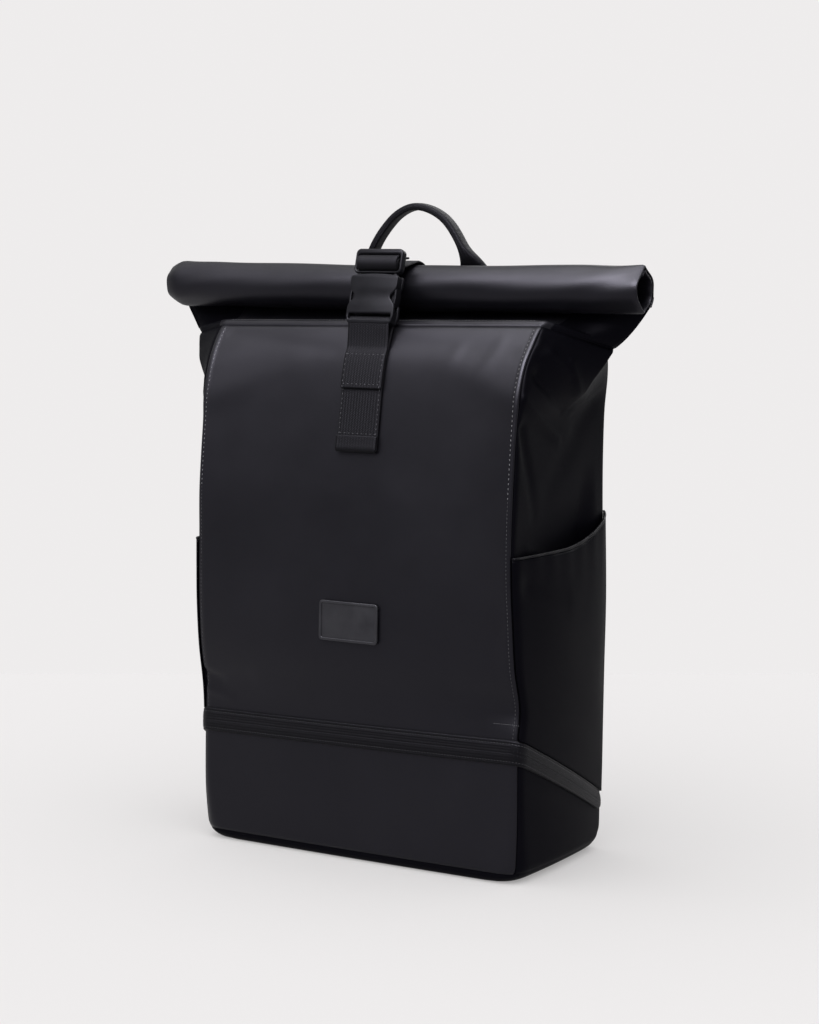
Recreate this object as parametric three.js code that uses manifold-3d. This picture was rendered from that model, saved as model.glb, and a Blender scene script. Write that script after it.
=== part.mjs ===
// Rolltop backpack: a soft, empty bag of sewn cloth panels whose top is rolled down and buckled.
// Millimetres. X is the wearer's width (+X the bag's right in the front view), -Y is the front
// that carries the buckle, +Y the back that lies against the wearer, +Z up.
// The origin is the middle of the flat base.

import * as THREE from "three";
import { mergeVertices } from "three/addons/utils/BufferGeometryUtils.js";
import Module from "manifold-3d";

const wasm = await Module();
wasm.setup();

// Driving sizes of the bag
const BODY_WIDTH = 302;
const BODY_DEPTH = 142;
const BODY_HEIGHT = 428.5; // base to the seam under the rolled collar, along the front corners
const CLOTH = 1.8; // wall of the coated cloth
const BACK_PADDING = 5; // wall of the padded back panel
const SEAM_GAP = 0.3; // clearance between neighbouring pieces
const CORNER_RADIUS = 8;
const FOOT_RADIUS_SIDE = 15; // turn of the bottom edge under the two sides
const FOOT_RADIUS_FRONT = 7; // turn of the bottom edge under the front and the back
const BASE_TURN = 9; // how far the base panel climbs up the walls
const SEAM_MITRE = 12; // cloth beside the collar seam whose two edges meet squarely
const PADDING_EDGE = 14; // width over which the back padding thins out to plain cloth

// Soft shape: the largest value of each effect, shared out by the tables below
const BELLY = 11;
const SIDE_BULGE = 5;
const BACK_BULGE = 4;
const EAR_REACH = 36; // how far the folded side gusset points outwards at the collar seam
const EAR_DIP_RIGHT = 15; // how much lower the collar seam lies at the right fold
const EAR_DIP_LEFT = 6;
const LEAN = 5; // the soft bag leans: its right side stands this much higher than its left
const BACK_DROP = 69; // how far the zip line falls from the front corner to the back corner
const FOLD_DEPTH = 3;
const FOLD_FADE = 0.6; // how much of a fold's rise is lost by its far end

// Zip between the main panels and the bottom compartment
const ZIP_HEIGHT = 93;
const ZIP_WIDTH = 19.5;
const ZIP_TAPE = 1.2;
const ZIP_END = 9; // bare cloth between each end of the zip and the back corner
const ZIP_ROUNDING_SHARE = 0.96; // how fully the zip's ends are rounded: 1 is a half circle
const ZIP_SEAM = 0.45; // where the panels meet under the tape, as a share of its width
const SLIDER_LENGTH = 11;
const SLIDER_WIDTH = 8;
const SLIDER_THICKNESS = 3.5;
const PULL_LENGTH = 24;
const PULL_WIDTH = 6;
const PULL_THICKNESS = 1.5;
const PULL_LAP = 4.4; // length of the pull over the slider
const PULL_SINK = 0.2; // how far the pull's eye sinks into the slider

// Side pockets
const POCKET_HEIGHT = 255; // base to the mouth at the front corner
const POCKET_CLOTH = 1.4;
const POCKET_BINDING = 2.6; // thickness of the bound mouth
const POCKET_BINDING_HEIGHT = 9;
const POCKET_RISE = 15; // how much higher the mouth ends at the back corner
const POCKET_LEVEL = 0.7; // share of the side over which the mouth stays level
const POCKET_BULGE = 5; // how far the open mouth stands out at its middle
const POCKET_TUCK_FADE = 58; // height above the mouth over which the wall comes back out
const POCKET_TUCK = 7; // how far the main side wall lies inwards behind the pocket's mouth

// Rolled top
const ROLL_RADIUS = 20.2;
const ROLL_RISE = 30; // collar seam to the roll's axis at its ends
const ROLL_SAG = 1.5; // how much lower the axis lies in the middle
const ROLL_SETBACK = -7; // the roll's axis from the bag's middle plane, front negative
const ROLL_TURNS = 1.45;
const ROLL_CLOTH = 2.4; // the doubled cloth that is rolled
const ROLL_LAYER_GAP = 0.9;
const ROLL_INSET = 0.1; // how far the collar's layers keep inside the rolled cloth's faces
const ROLL_ENTRY = -42; // angle in degrees, from +Y, where the cloth meets the roll
const COLLAR_REACH = 0.86; // share of the way back that the front cloth runs before it rises
const COLLAR_LIFT = 0.5; // how much the front cloth has risen there
const COLLAR_CROWN = 2; // how much the cloth behind the roll bows upwards
const COLLAR_CORNER = 0.03; // share of the front beside each corner of the collar
const EAR_HOLLOW = 0.9; // the most of an ear's reach that its solid tip takes up
const COLLAR_MITRE = 0.3; // share of the collar over which its lower edge turns square to the seam
const ROLL_LEAD = 0.12; // turn, in radians, by which the rolled sheet starts inside the collar
const ROLL_STATIONS = [0, 0.02, 0.12, 0.3, 0.5, 0.7, 0.88, 0.98, 1]; // shares of the roll's length
const ROLL_POINT = 0.16; // how far the open ends are pressed flat, to a point above and below
const ROLL_POINT_KEEP = 0.75; // share of that by which the flat sides lie further in

// Webbing and buckle
const WEBBING_WIDTH = 38;
const WEBBING = 1.8;
const TRIM_OFFSET = 2; // the buckle, its webbing and the patch sit this far right of the middle
const BUCKLE_MARGIN = 3; // frame beside the webbing
const BUCKLE_JOINT_RISE = 10.5; // roll's axis to the line where the two buckle halves meet
const BUCKLE_STANDOFF = 9.3; // that line in front of the roll's surface
const BUCKLE_TILT = 16; // lean of the buckle's top towards the back, degrees
const BUCKLE_BODY_LENGTH = 41;
const BUCKLE_BODY_THICKNESS = 10.5;
const BUCKLE_WALL = 2.2;
const BUCKLE_WAIST_RADIUS = 8.5;
const BUCKLE_WAIST_DEPTH = 4.6;
const BUCKLE_WAIST_CENTRE = 19; // below the joint line
const BUCKLE_SLOT = 4.6;
const BUCKLE_BAR = 3.6;
const BUCKLE_BAR_THICKNESS = 4.4;
const FRAME_LENGTH = 20.5;
const FRAME_THICKNESS = 6.5;
const FRAME_TOP_BAR = 4.5;
const FRAME_BASE = 2.4;
const PRONG_WIDTH = 4;
const PRONG_TIP_GAP = 1.5;
const FRAME_BAR_THICKNESS = 3.4;
const TONGUE_WIDTH = 9;
const PLASTIC_GAP = 0.5;

// Front strap, patch and handle
const STRAP_DROP = 98.5; // collar seam down to the strap's lower end
const STRAP_STEP_DROP = 49.5; // collar seam down to the end of the webbing folded back over it
const STRAP_HEM = 12; // length of the turned-up end
const STRAP_LIFT_OFF = 18; // collar seam down to where the strap leaves the panel
const CLOSURE_ANCHOR_DROP = 56.5; // collar seam down to the closure strap's sewn end on the back
const CLOSURE_TAIL = 14; // length of the closure strap folded back behind the frame's bar
const PATCH_WIDTH = 55;
const PATCH_HEIGHT = 32;
const PATCH_CENTRE = 196;
const PATCH_THICKNESS = 2.2;
const PATCH_RIM = 2.2;
const PATCH_RECESS = 0.7;
const PATCH_RADIUS = 3;
const HANDLE_SPREAD = 50; // half the distance between the handle's feet
const HANDLE_RISE = 63; // roll's axis to the middle of the webbing at the top of the arch
const HANDLE_FORWARD = 30; // the arch's plane from the bag's middle plane
const HANDLE_FOOT_DROP = 36.5; // collar seam down to the lower end of the handle's feet
const HANDLE_BEND_RISE = 24; // each leg stands off the back this high above the collar seam
const HANDLE_BEND_BACK = 16; // and this far behind the arch's plane
const HANDLE_KNEE_IN = 4; // the lower side of the arch, in from the foot
const HANDLE_KNEE_DROP = 40; // and below the arch's top
const HANDLE_SHOULDER_IN = 25; // the upper side of the arch, in from the foot
const HANDLE_SHOULDER_DROP = 9; // and below the arch's top
const HANDLE_SHIFT = 2; // how far right of the feet's middle the arch's top lies
const HANDLE_THICKNESS = 6; // the webbing folded and sewn to a tube
const HANDLE_DEPTH = 12;

// Shoulder straps, behind the bag
const SHOULDER_SPREAD = 46;
const SHOULDER_FOOT_SPREAD = 78;
const SHOULDER_DROP = 60.5; // collar seam down to the top of the padded straps
const SHOULDER_BOTTOM = 178;
const SHOULDER_WIDTH = 56;
const SHOULDER_PADDING = 7;
const SHOULDER_STANDOFF = 17; // how far the strap bows away from the back
const LOWER_WEBBING_WIDTH = 25;
const LOWER_ANCHOR_SPREAD = 112;
const LOWER_ANCHOR_HEIGHT = 34;
const ADJUSTER_LENGTH = 26;
const ADJUSTER_THICKNESS = 4.5;
const ADJUSTER_MARGIN = 3.5;
const ADJUSTER_BAR = 3;

// The bag's levels. at: share of BODY_HEIGHT along the front corners. noseLeft, noseRight: front
// corners, and spine: back corners, as shares of half the depth. belly: the front's middle past its
// corners, share of BELLY. drop: fall towards the back, share of BACK_DROP. side, rear: bulge of
// the sides and of the back. ear: share of EAR_REACH and of the dips. corner: times CORNER_RADIUS.
const LEVELS = [
  {
    at: 0.0, noseLeft: 1.0, noseRight: 1.03, spine: 0.97, belly: 0.1, drop: 0.0,
    side: 0.5, rear: 0.0, ear: 0.0, corner: 2.6,
  },
  {
    at: 0.03, noseLeft: 1.0, noseRight: 1.03, spine: 0.98, belly: 0.15, drop: 0.03,
    side: 0.8, rear: 0.1, ear: 0.0, corner: 2.0,
  },
  {
    at: 0.105, noseLeft: 1.0, noseRight: 1.02, spine: 0.98, belly: 0.2, drop: 0.42,
    side: 1.0, rear: 0.4, ear: 0.0, corner: 1.2,
  },
  {
    at: 0.218, noseLeft: 0.98, noseRight: 1.02, spine: 0.98, belly: 0.2, drop: 0.97,
    side: 1.0, rear: 0.7, ear: 0.0, corner: 1.0,
  },
  {
    at: 0.267, noseLeft: 0.97, noseRight: 1.01, spine: 0.98, belly: 0.25, drop: 1.0,
    side: 0.9, rear: 0.9, ear: 0.0, corner: 1.0,
  },
  {
    at: 0.316, noseLeft: 0.99, noseRight: 0.96, spine: 0.99, belly: 0.6, drop: 0.985,
    side: 0.8, rear: 1.0, ear: 0.0, corner: 1.0,
  },
  {
    at: 0.39, noseLeft: 1.06, noseRight: 1.08, spine: 1.0, belly: 0.55, drop: 0.9,
    side: 0.8, rear: 1.0, ear: 0.0, corner: 1.0,
  },
  {
    at: 0.471, noseLeft: 1.09, noseRight: 1.14, spine: 1.01, belly: 0.25, drop: 0.74,
    side: 0.9, rear: 1.0, ear: 0.0, corner: 1.0,
  },
  {
    at: 0.538, noseLeft: 1.09, noseRight: 1.18, spine: 1.03, belly: -0.05, drop: 0.39,
    side: 0.9, rear: 1.0, ear: 0.0, corner: 1.0,
  },
  {
    at: 0.6, noseLeft: 1.08, noseRight: 1.19, spine: 1.01, belly: -0.25, drop: -0.04,
    side: 0.7, rear: 1.0, ear: 0.0, corner: 1.0,
  },
  {
    at: 0.68, noseLeft: 1.07, noseRight: 1.17, spine: 1.0, belly: -0.5, drop: -0.1,
    side: 0.4, rear: 1.0, ear: 0.0, corner: 1.0,
  },
  {
    at: 0.754, noseLeft: 1.03, noseRight: 1.13, spine: 1.01, belly: -0.7, drop: -0.1,
    side: 0.0, rear: 0.9, ear: 0.0, corner: 1.0,
  },
  {
    at: 0.828, noseLeft: 0.97, noseRight: 1.08, spine: 1.03, belly: -0.85, drop: -0.07,
    side: -0.3, rear: 0.8, ear: 0.05, corner: 0.9,
  },
  {
    at: 0.891, noseLeft: 0.9, noseRight: 1.01, spine: 1.06, belly: -0.85, drop: -0.03,
    side: 0.0, rear: 0.6, ear: 0.42, corner: 0.7,
  },
  {
    at: 0.937, noseLeft: 0.8, noseRight: 0.89, spine: 1.04, belly: -0.6, drop: 0.03,
    side: 0.0, rear: 0.4, ear: 0.7, corner: 0.6,
  },
  {
    at: 0.974, noseLeft: 0.66, noseRight: 0.7, spine: 0.97, belly: -0.2, drop: 0.1,
    side: 0.0, rear: 0.2, ear: 0.88, corner: 0.5,
  },
  {
    at: 1.0, noseLeft: 0.53, noseRight: 0.55, spine: 0.89, belly: 0.1, drop: 0.145,
    side: 0.0, rear: 0.0, ear: 1.0, corner: 0.4,
  },
];

// Folds and dents of the cloth. face: front or side. across: share of the face from the left of the
// front, or from the front of a side. up: share of BODY_HEIGHT. reach: share of the depth.
// rise: share of FOLD_DEPTH, negative for a dent.
const FOLDS = [
  { face: "side", across: 0.12, up: 0.955, acrossEnd: 0.62, upEnd: 0.875, reach: 0.05, rise: 0.8 },
  { face: "side", across: 0.1, up: 0.925, acrossEnd: 0.5, upEnd: 0.845, reach: 0.05, rise: -0.8 },
  { face: "side", across: 0.06, up: 0.89, acrossEnd: 0.55, upEnd: 0.8, reach: 0.07, rise: 0.7 },
  { face: "side", across: 0.8, up: 0.84, acrossEnd: 0.35, upEnd: 0.7, reach: 0.08, rise: -0.6 },
  { face: "side", across: 0.12, up: 0.545, acrossEnd: 0.42, upEnd: 0.535, reach: 0.06, rise: -0.7 },
  { face: "front", across: 0.0, up: 0.31, acrossEnd: 0.16, upEnd: 0.33, reach: 0.06, rise: -0.9 },
  { face: "front", across: 1.0, up: 0.315, acrossEnd: 0.82, upEnd: 0.345, reach: 0.07, rise: -1.0 },
  { face: "front", across: 0.0, up: 0.86, acrossEnd: 0.28, upEnd: 0.93, reach: 0.08, rise: 0.6 },
  { face: "front", across: 1.0, up: 0.87, acrossEnd: 0.74, upEnd: 0.94, reach: 0.08, rise: 0.6 },
];

// How far the pocket stands out: share of the side from its front corner, share of the bulge
const POCKET_OPENING = [
  { across: 0.0, out: 0.0 },
  { across: 0.12, out: 0.35 },
  { across: 0.35, out: 0.85 },
  { across: 0.6, out: 1.0 },
  { across: 0.85, out: 0.9 },
  { across: 1.0, out: 0.0 },
];

// Shares along the handle's path: thin: share of the way from flat foot to folded tube
const HANDLE_FOLD = [
  { along: 0.0, thin: 0.0 },
  { along: 0.22, thin: 0.0 },
  { along: 0.34, thin: 1.0 },
  { along: 0.64, thin: 1.0 },
  { along: 0.74, thin: 0.35 },
  { along: 0.8, thin: 0.0 },
  { along: 1.0, thin: 0.0 },
];

// Shares along a shoulder strap: off: share of SHOULDER_STANDOFF, wide: share of SHOULDER_WIDTH
const SHOULDER_SHAPE = [
  { along: 0.0, off: 0.0, wide: 0.95 },
  { along: 0.06, off: 0.03, wide: 1.0 },
  { along: 0.2, off: 0.6, wide: 1.0 },
  { along: 0.4, off: 1.0, wide: 1.0 },
  { along: 0.65, off: 1.0, wide: 0.96 },
  { along: 0.85, off: 0.85, wide: 0.85 },
  { along: 1.0, off: 0.7, wide: 0.6 },
];

// Where the side gusset's fold lies, as a share of each side from its front corner
const EAR_FOLD_RIGHT = 0.5;
const EAR_FOLD_LEFT = 0.18;

const FACES = 4; // front, right side, back and left side, one unit of u each
const HALF_DEPTH = BODY_DEPTH / 2;
const MIDDLE_X = TRIM_OFFSET;
const PROBE = 1e-3; // step for numeric slopes

const mix = (a, b, t) => a + (b - a) * t;
const clamp01 = (t) => Math.min(1, Math.max(0, t));
const smooth = (t) => clamp01(t) * clamp01(t) * (3 - 2 * clamp01(t));
const arch = (t) => 4 * t * (1 - t);
const tent = (t, apex) => (t < apex ? t / apex : (1 - t) / (1 - apex));
const radians = (degrees) => (degrees * Math.PI) / 180;
const steps = (count) => Array.from({ length: count + 1 }, (_, i) => i / count);
const vector = (x, y, z) => new THREE.Vector3(x, y, z);

// A place on the quadratic curve from a to c that heads for b.
function bezier(a, b, c, t) {
  const start = a.clone().multiplyScalar((1 - t) * (1 - t));
  return start.addScaledVector(b, 2 * t * (1 - t)).addScaledVector(c, t * t);
}

// Reads one column of a table at a value of its key column, as a smooth curve through the rows.
function lookup(table, key, value, column) {
  const last = table.length - 1;
  let i = 0;
  while (i < last - 1 && value > table[i + 1][key]) {
    i += 1;
  }
  const row = (n) => table[Math.min(last, Math.max(0, n))];
  const [a, b, c, d] = [row(i - 1), row(i), row(i + 1), row(i + 2)];
  const span = c[key] - b[key];
  const t = clamp01((value - b[key]) / span);
  const slope = (p, q) => (q[key] === p[key] ? 0 : (q[column] - p[column]) / (q[key] - p[key]));
  const m0 = slope(a, c) * span;
  const m1 = slope(b, d) * span;
  const t2 = t * t;
  const t3 = t2 * t;
  return (2 * t3 - 3 * t2 + 1) * b[column] + (t3 - 2 * t2 + t) * m0
    + (3 * t2 - 2 * t3) * c[column] + (t3 - t2) * m1;
}

const level = (height, column) => lookup(LEVELS, "at", height / BODY_HEIGHT, column);

// How much of a foot radius is left at a height above the base: 1 on the ground, 0 above it.
function footInset(height, radius) {
  const climb = clamp01(height / radius);
  return 1 - Math.sqrt(1 - (1 - climb) * (1 - climb));
}

// u runs round the bag: 0 to 1 the front from left to right, 1 to 2 the right side, 2 to 3 the
// back, 3 to 4 the left side. Gives the face and the share along it.
function placeOf(u) {
  const turn = ((u % FACES) + FACES) % FACES;
  const face = Math.floor(turn);
  return { face, along: turn - face };
}

// The bag's upright outer surface before its corners are rounded.
function uprightSkin(u, height) {
  const { face, along } = placeOf(u);
  const halfWidth = BODY_WIDTH / 2 - FOOT_RADIUS_SIDE * footInset(height, FOOT_RADIUS_SIDE);
  const turnUnder = FOOT_RADIUS_FRONT * footInset(height, FOOT_RADIUS_FRONT);
  const frontLeft = -HALF_DEPTH * level(height, "noseLeft") + turnUnder;
  const frontRight = -HALF_DEPTH * level(height, "noseRight") + turnUnder;
  const back = HALF_DEPTH * level(height, "spine") - turnUnder;
  const backHeight = height - BACK_DROP * level(height, "drop") * smooth(height / BASE_TURN);
  if (face === 0) {
    const belly = BELLY * level(height, "belly") * arch(along);
    return vector(mix(-halfWidth, halfWidth, along), mix(frontLeft, frontRight, along) - belly, height);
  }
  if (face === 2) {
    const bulge = BACK_BULGE * level(height, "rear") * arch(along);
    return vector(mix(halfWidth, -halfWidth, along), back + bulge, backHeight);
  }
  const side = face === 1 ? 1 : -1;
  const s = face === 1 ? along : 1 - along;
  const ear = level(height, "ear") * tent(s, earFold(face));
  const out = halfWidth + SIDE_BULGE * level(height, "side") * arch(s) + EAR_REACH * ear;
  const front = face === 1 ? frontRight : frontLeft;
  return vector(side * out, mix(front, back, s), mix(height, backHeight, s) - earDip(face) * ear);
}

const earDip = (face) => (face === 1 ? EAR_DIP_RIGHT : EAR_DIP_LEFT);
const earFold = (face) => (face === 1 ? EAR_FOLD_RIGHT : EAR_FOLD_LEFT);

// The bag leans a little to its left above the zip.
function leaning(point, height) {
  point.z += LEAN * (point.x / BODY_WIDTH) * smooth(height / ZIP_HEIGHT);
  return point;
}

const sharpSkin = (u, height) => leaning(uprightSkin(u, height), height);
const faceLength = (face) => (((face % 2) + 2) % 2 === 0 ? BODY_WIDTH : BODY_DEPTH);

// The outer surface with its four upright corners rounded.
function plainSkin(u, height) {
  const corner = Math.round(u);
  const radius = CORNER_RADIUS * level(height, "corner");
  const before = radius / faceLength(corner - 1);
  const after = radius / faceLength(corner);
  const past = u - corner;
  if (past < -before || past > after) {
    return sharpSkin(u, height);
  }
  const t = past < 0 ? 0.5 + past / before / 2 : 0.5 + past / after / 2;
  const start = sharpSkin(corner - before, height);
  return bezier(start, sharpSkin(corner, height), sharpSkin(corner + after, height), t);
}

function skinNormal(u, height) {
  const low = Math.max(height, FOOT_RADIUS_SIDE * PROBE);
  const across = plainSkin(u + PROBE, low).sub(plainSkin(u - PROBE, low));
  const up = plainSkin(u, low + PROBE * BODY_HEIGHT).sub(plainSkin(u, low));
  const normal = across.cross(up).normalize();
  normal.z *= 1 - smooth((height - BODY_HEIGHT + SEAM_MITRE) / SEAM_MITRE);
  return normal.normalize();
}

// Sum of the folds and dents at a place on the skin.
function foldRise(u, height) {
  const place = placeOf(u);
  const face = place.face;
  if (face === 2) {
    return 0;
  }
  const along = face === 3 ? 1 - place.along : place.along;
  const name = face === 0 ? "front" : "side";
  const length = faceLength(face);
  const here = new THREE.Vector2(along * length, height);
  const rise = (fold) => {
    const start = new THREE.Vector2(fold.across * length, fold.up * BODY_HEIGHT);
    const line = new THREE.Vector2(fold.acrossEnd * length, fold.upEnd * BODY_HEIGHT).sub(start);
    const t = clamp01(here.clone().sub(start).dot(line) / line.lengthSq());
    const distance = here.distanceTo(start.clone().addScaledVector(line, t));
    const reach = fold.reach * BODY_DEPTH;
    return fold.rise * FOLD_DEPTH * Math.exp(-((distance / reach) ** 2)) * (1 - FOLD_FADE * t);
  };
  return FOLDS.filter((fold) => fold.face === name).reduce((sum, fold) => sum + rise(fold), 0);
}

// A point on the bag's skin, moved outwards by an offset.
function skin(u, height, offset = 0) {
  return plainSkin(u, height).addScaledVector(skinNormal(u, height), offset + foldRise(u, height));
}

// Solids from points and triangles
function volumeOf(points, faces) {
  let sum = 0;
  for (let i = 0; i < faces.length; i += 3) {
    const [a, b, c] = [points[faces[i]], points[faces[i + 1]], points[faces[i + 2]]];
    sum += a.dot(b.clone().cross(c)) / 6;
  }
  return sum;
}

function solid(points, faces) {
  const geometry = new THREE.BufferGeometry();
  const flat = points.flatMap((point) => point.toArray());
  geometry.setAttribute("position", new THREE.Float32BufferAttribute(flat, 3));
  geometry.setIndex(volumeOf(points, faces) < 0 ? faces.toReversed() : faces);
  return geometry;
}

// Closes two matching grids of points into one thin solid, such as a panel of cloth.
function thinSolid(outer, inner) {
  const rows = outer.length;
  const columns = outer[0].length;
  const half = rows * columns;
  const faces = [];
  const quad = (a, b, c, d) => faces.push(a, b, c, a, c, d);
  for (let r = 0; r < rows - 1; r += 1) {
    for (let c = 0; c < columns - 1; c += 1) {
      const a = r * columns + c;
      quad(a, a + 1, a + columns + 1, a + columns);
      quad(half + a, half + a + columns, half + a + columns + 1, half + a + 1);
    }
  }
  for (let c = 0; c < columns - 1; c += 1) {
    const top = (rows - 1) * columns + c;
    quad(c + 1, c, half + c, half + c + 1);
    quad(top, top + 1, half + top + 1, half + top);
  }
  for (let r = 0; r < rows - 1; r += 1) {
    const left = r * columns;
    const right = left + columns - 1;
    quad(left, left + columns, half + left + columns, half + left);
    quad(right + columns, right, half + right, half + right + columns);
  }
  return solid([...outer.flat(), ...inner.flat()], faces);
}

// Joins a row of closed rings, each with as many points, and closes both ends.
function ringSolid(rings) {
  const size = rings[0].length;
  const points = rings.flat();
  const faces = [];
  for (let r = 0; r < rings.length - 1; r += 1) {
    for (let i = 0; i < size; i += 1) {
      const a = r * size + i;
      const b = r * size + ((i + 1) % size);
      faces.push(a, b, b + size, a, b + size, a + size);
    }
  }
  const middle = (ring) => ring.reduce((sum, p) => sum.add(p), vector(0, 0, 0)).divideScalar(size);
  const first = points.push(middle(rings[0])) - 1;
  const last = points.push(middle(rings.at(-1))) - 1;
  const end = (rings.length - 1) * size;
  for (let i = 0; i < size; i += 1) {
    const next = (i + 1) % size;
    faces.push(first, next, i);
    faces.push(last, end + i, end + next);
  }
  return solid(points, faces);
}

function toManifold(geometry) {
  const bare = geometry.clone();
  bare.deleteAttribute("normal");
  bare.deleteAttribute("uv");
  const merged = mergeVertices(bare);
  return new wasm.Manifold(new wasm.Mesh({
    numProp: 3,
    vertProperties: new Float32Array(merged.attributes.position.array),
    triVerts: new Uint32Array(merged.index.array),
  }));
}

function fromManifold(body) {
  const mesh = body.getMesh();
  const geometry = new THREE.BufferGeometry();
  geometry.setAttribute("position", new THREE.BufferAttribute(new Float32Array(mesh.vertProperties), 3));
  geometry.setIndex(Array.from(mesh.triVerts));
  return geometry;
}

const cut = (body, ...tools) => tools.reduce((left, tool) => left.subtract(toManifold(tool)), body);
const join = (body, ...tools) => tools.reduce((left, tool) => left.add(toManifold(tool)), body);

function box(width, length, thickness, x, y, z) {
  return new THREE.BoxGeometry(width, length, thickness).translate(x, y, z);
}

// Columns and rows of the cloth panels
// Shares across a face: fine steps round its two corners and even steps between them.
function columnsAcross(face, count) {
  const corner = CORNER_RADIUS / faceLength(face);
  const edge = SEAM_GAP / 2 / faceLength(face);
  const inner = steps(count).map((t) => mix(corner, 1 - corner, t));
  return [edge, corner / 2, ...inner, 1 - corner / 2, 1 - edge].map((t) => face + t);
}

// Columns of a side, with one on the gusset's fold in place of its nearest neighbour.
function columnsOnSide(face, count) {
  const fold = face === 1 ? face + EAR_FOLD_RIGHT : face + 1 - EAR_FOLD_LEFT;
  const columns = columnsAcross(face, count);
  const apart = columns.map((u) => Math.abs(u - fold));
  columns[apart.indexOf(Math.min(...apart))] = fold;
  return columns;
}

// Heights between two edges: every level of the table that lies well between them.
function rowsBetween(low, high, spacing) {
  const between = LEVELS.map((row) => row.at * BODY_HEIGHT)
    .filter((height) => height > low + spacing && height < high - spacing);
  return [low, ...between, high];
}

function clothPanel(columns, rows, outerAt, thicknessAt) {
  const grid = (depth) => rows.map((height) => columns.map((u) => {
    const outer = outerAt(u, height);
    return skin(u, height, outer - depth * thicknessAt(u, height));
  }));
  return thinSolid(grid(0), grid(1));
}

const onSkin = () => 0;
const cloth = () => CLOTH;
const seamHeight = ZIP_HEIGHT + ZIP_WIDTH * ZIP_SEAM;
const pocketFloor = ZIP_HEIGHT + ZIP_WIDTH + SEAM_GAP;

// Share from the front corner of a side, for either side.
function alongSide(u) {
  const { face, along } = placeOf(u);
  return face === 3 ? 1 - along : along;
}

// The mouth's height: level from the front corner, then rising to the back corner.
function pocketMouth(u) {
  return POCKET_HEIGHT + POCKET_RISE * smooth((alongSide(u) - POCKET_LEVEL) / (1 - POCKET_LEVEL));
}

// How open the pocket is at a place: 0 at its seams and floor, 1 at the middle of its mouth.
function pocketOpen(u, height) {
  const s = alongSide(u);
  const climb = clamp01((height - pocketFloor) / (pocketMouth(u) - pocketFloor));
  return lookup(POCKET_OPENING, "across", s, "out") * smooth(climb);
}

// The main side wall lies inwards behind the pocket and comes back out above the mouth.
function sideTuck(u, height) {
  const above = (height - pocketMouth(u)) / POCKET_TUCK_FADE;
  return -POCKET_TUCK * pocketOpen(u, height) * (1 - smooth(above));
}

function frontPanel() {
  const rows = rowsBetween(seamHeight + SEAM_GAP / 2, BODY_HEIGHT - SEAM_GAP / 2, 4);
  return clothPanel(columnsAcross(0, 8), rows, onSkin, cloth);
}

function sidePanel(face) {
  const rows = rowsBetween(seamHeight + SEAM_GAP / 2, BODY_HEIGHT - SEAM_GAP / 2, 4);
  return clothPanel(columnsOnSide(face, 8), rows, sideTuck, cloth);
}

function backPanel() {
  const rows = rowsBetween(BASE_TURN + 2 * SEAM_GAP, BODY_HEIGHT - SEAM_GAP / 2, 8);
  const padded = (u) => {
    const fromCorner = Math.min(u - 2, 3 - u) * BODY_WIDTH;
    return mix(CLOTH, BACK_PADDING, smooth(fromCorner / PADDING_EDGE));
  };
  return clothPanel(columnsAcross(2, 6), rows, onSkin, padded);
}

function lowerPanel(face, count) {
  const rows = rowsBetween(BASE_TURN + 2 * SEAM_GAP, seamHeight - SEAM_GAP / 2, 3);
  return clothPanel(columnsAcross(face, count), rows, onSkin, cloth);
}

function sidePocket(face) {
  const columns = columnsOnSide(face, 8);
  const bindingFoot = POCKET_HEIGHT - POCKET_BINDING_HEIGHT;
  const shares = [...rowsBetween(pocketFloor, bindingFoot, 6), bindingFoot + 1, POCKET_HEIGHT]
    .map((height) => (height - pocketFloor) / (POCKET_HEIGHT - pocketFloor));
  const grid = (depth) => shares.map((share) => columns.map((u) => {
    const height = mix(pocketFloor, pocketMouth(u), share);
    const thickness = share > shares.at(-3) ? POCKET_BINDING : POCKET_CLOTH;
    const outer = SEAM_GAP + thickness + POCKET_BULGE * pocketOpen(u, height);
    return skin(u, height, outer - depth * thickness);
  }));
  return thinSolid(grid(0), grid(1));
}

// The base: a flat bottom whose edge turns up to meet the walls.
function basePanel() {
  const around = [];
  for (const face of [0, 1, 2, 3]) {
    around.push(...columnsAcross(face, face % 2 === 0 ? 6 : 4).slice(0, -1));
  }
  const climb = [0, 0.12, 0.4, 1].map((t) => t * BASE_TURN);
  const ring = (height, depth) => around.map((u) => skin(u, height, -depth));
  const flat = (depth) => ring(0, depth).map((p) => vector(p.x, p.y, depth));
  const outer = climb.map((height) => (height === 0 ? flat(0) : ring(height, 0)));
  const inner = climb.slice(1).reverse().map((height) => ring(height, CLOTH));
  return ringSolid([...outer, ...inner, flat(CLOTH)]);
}

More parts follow.
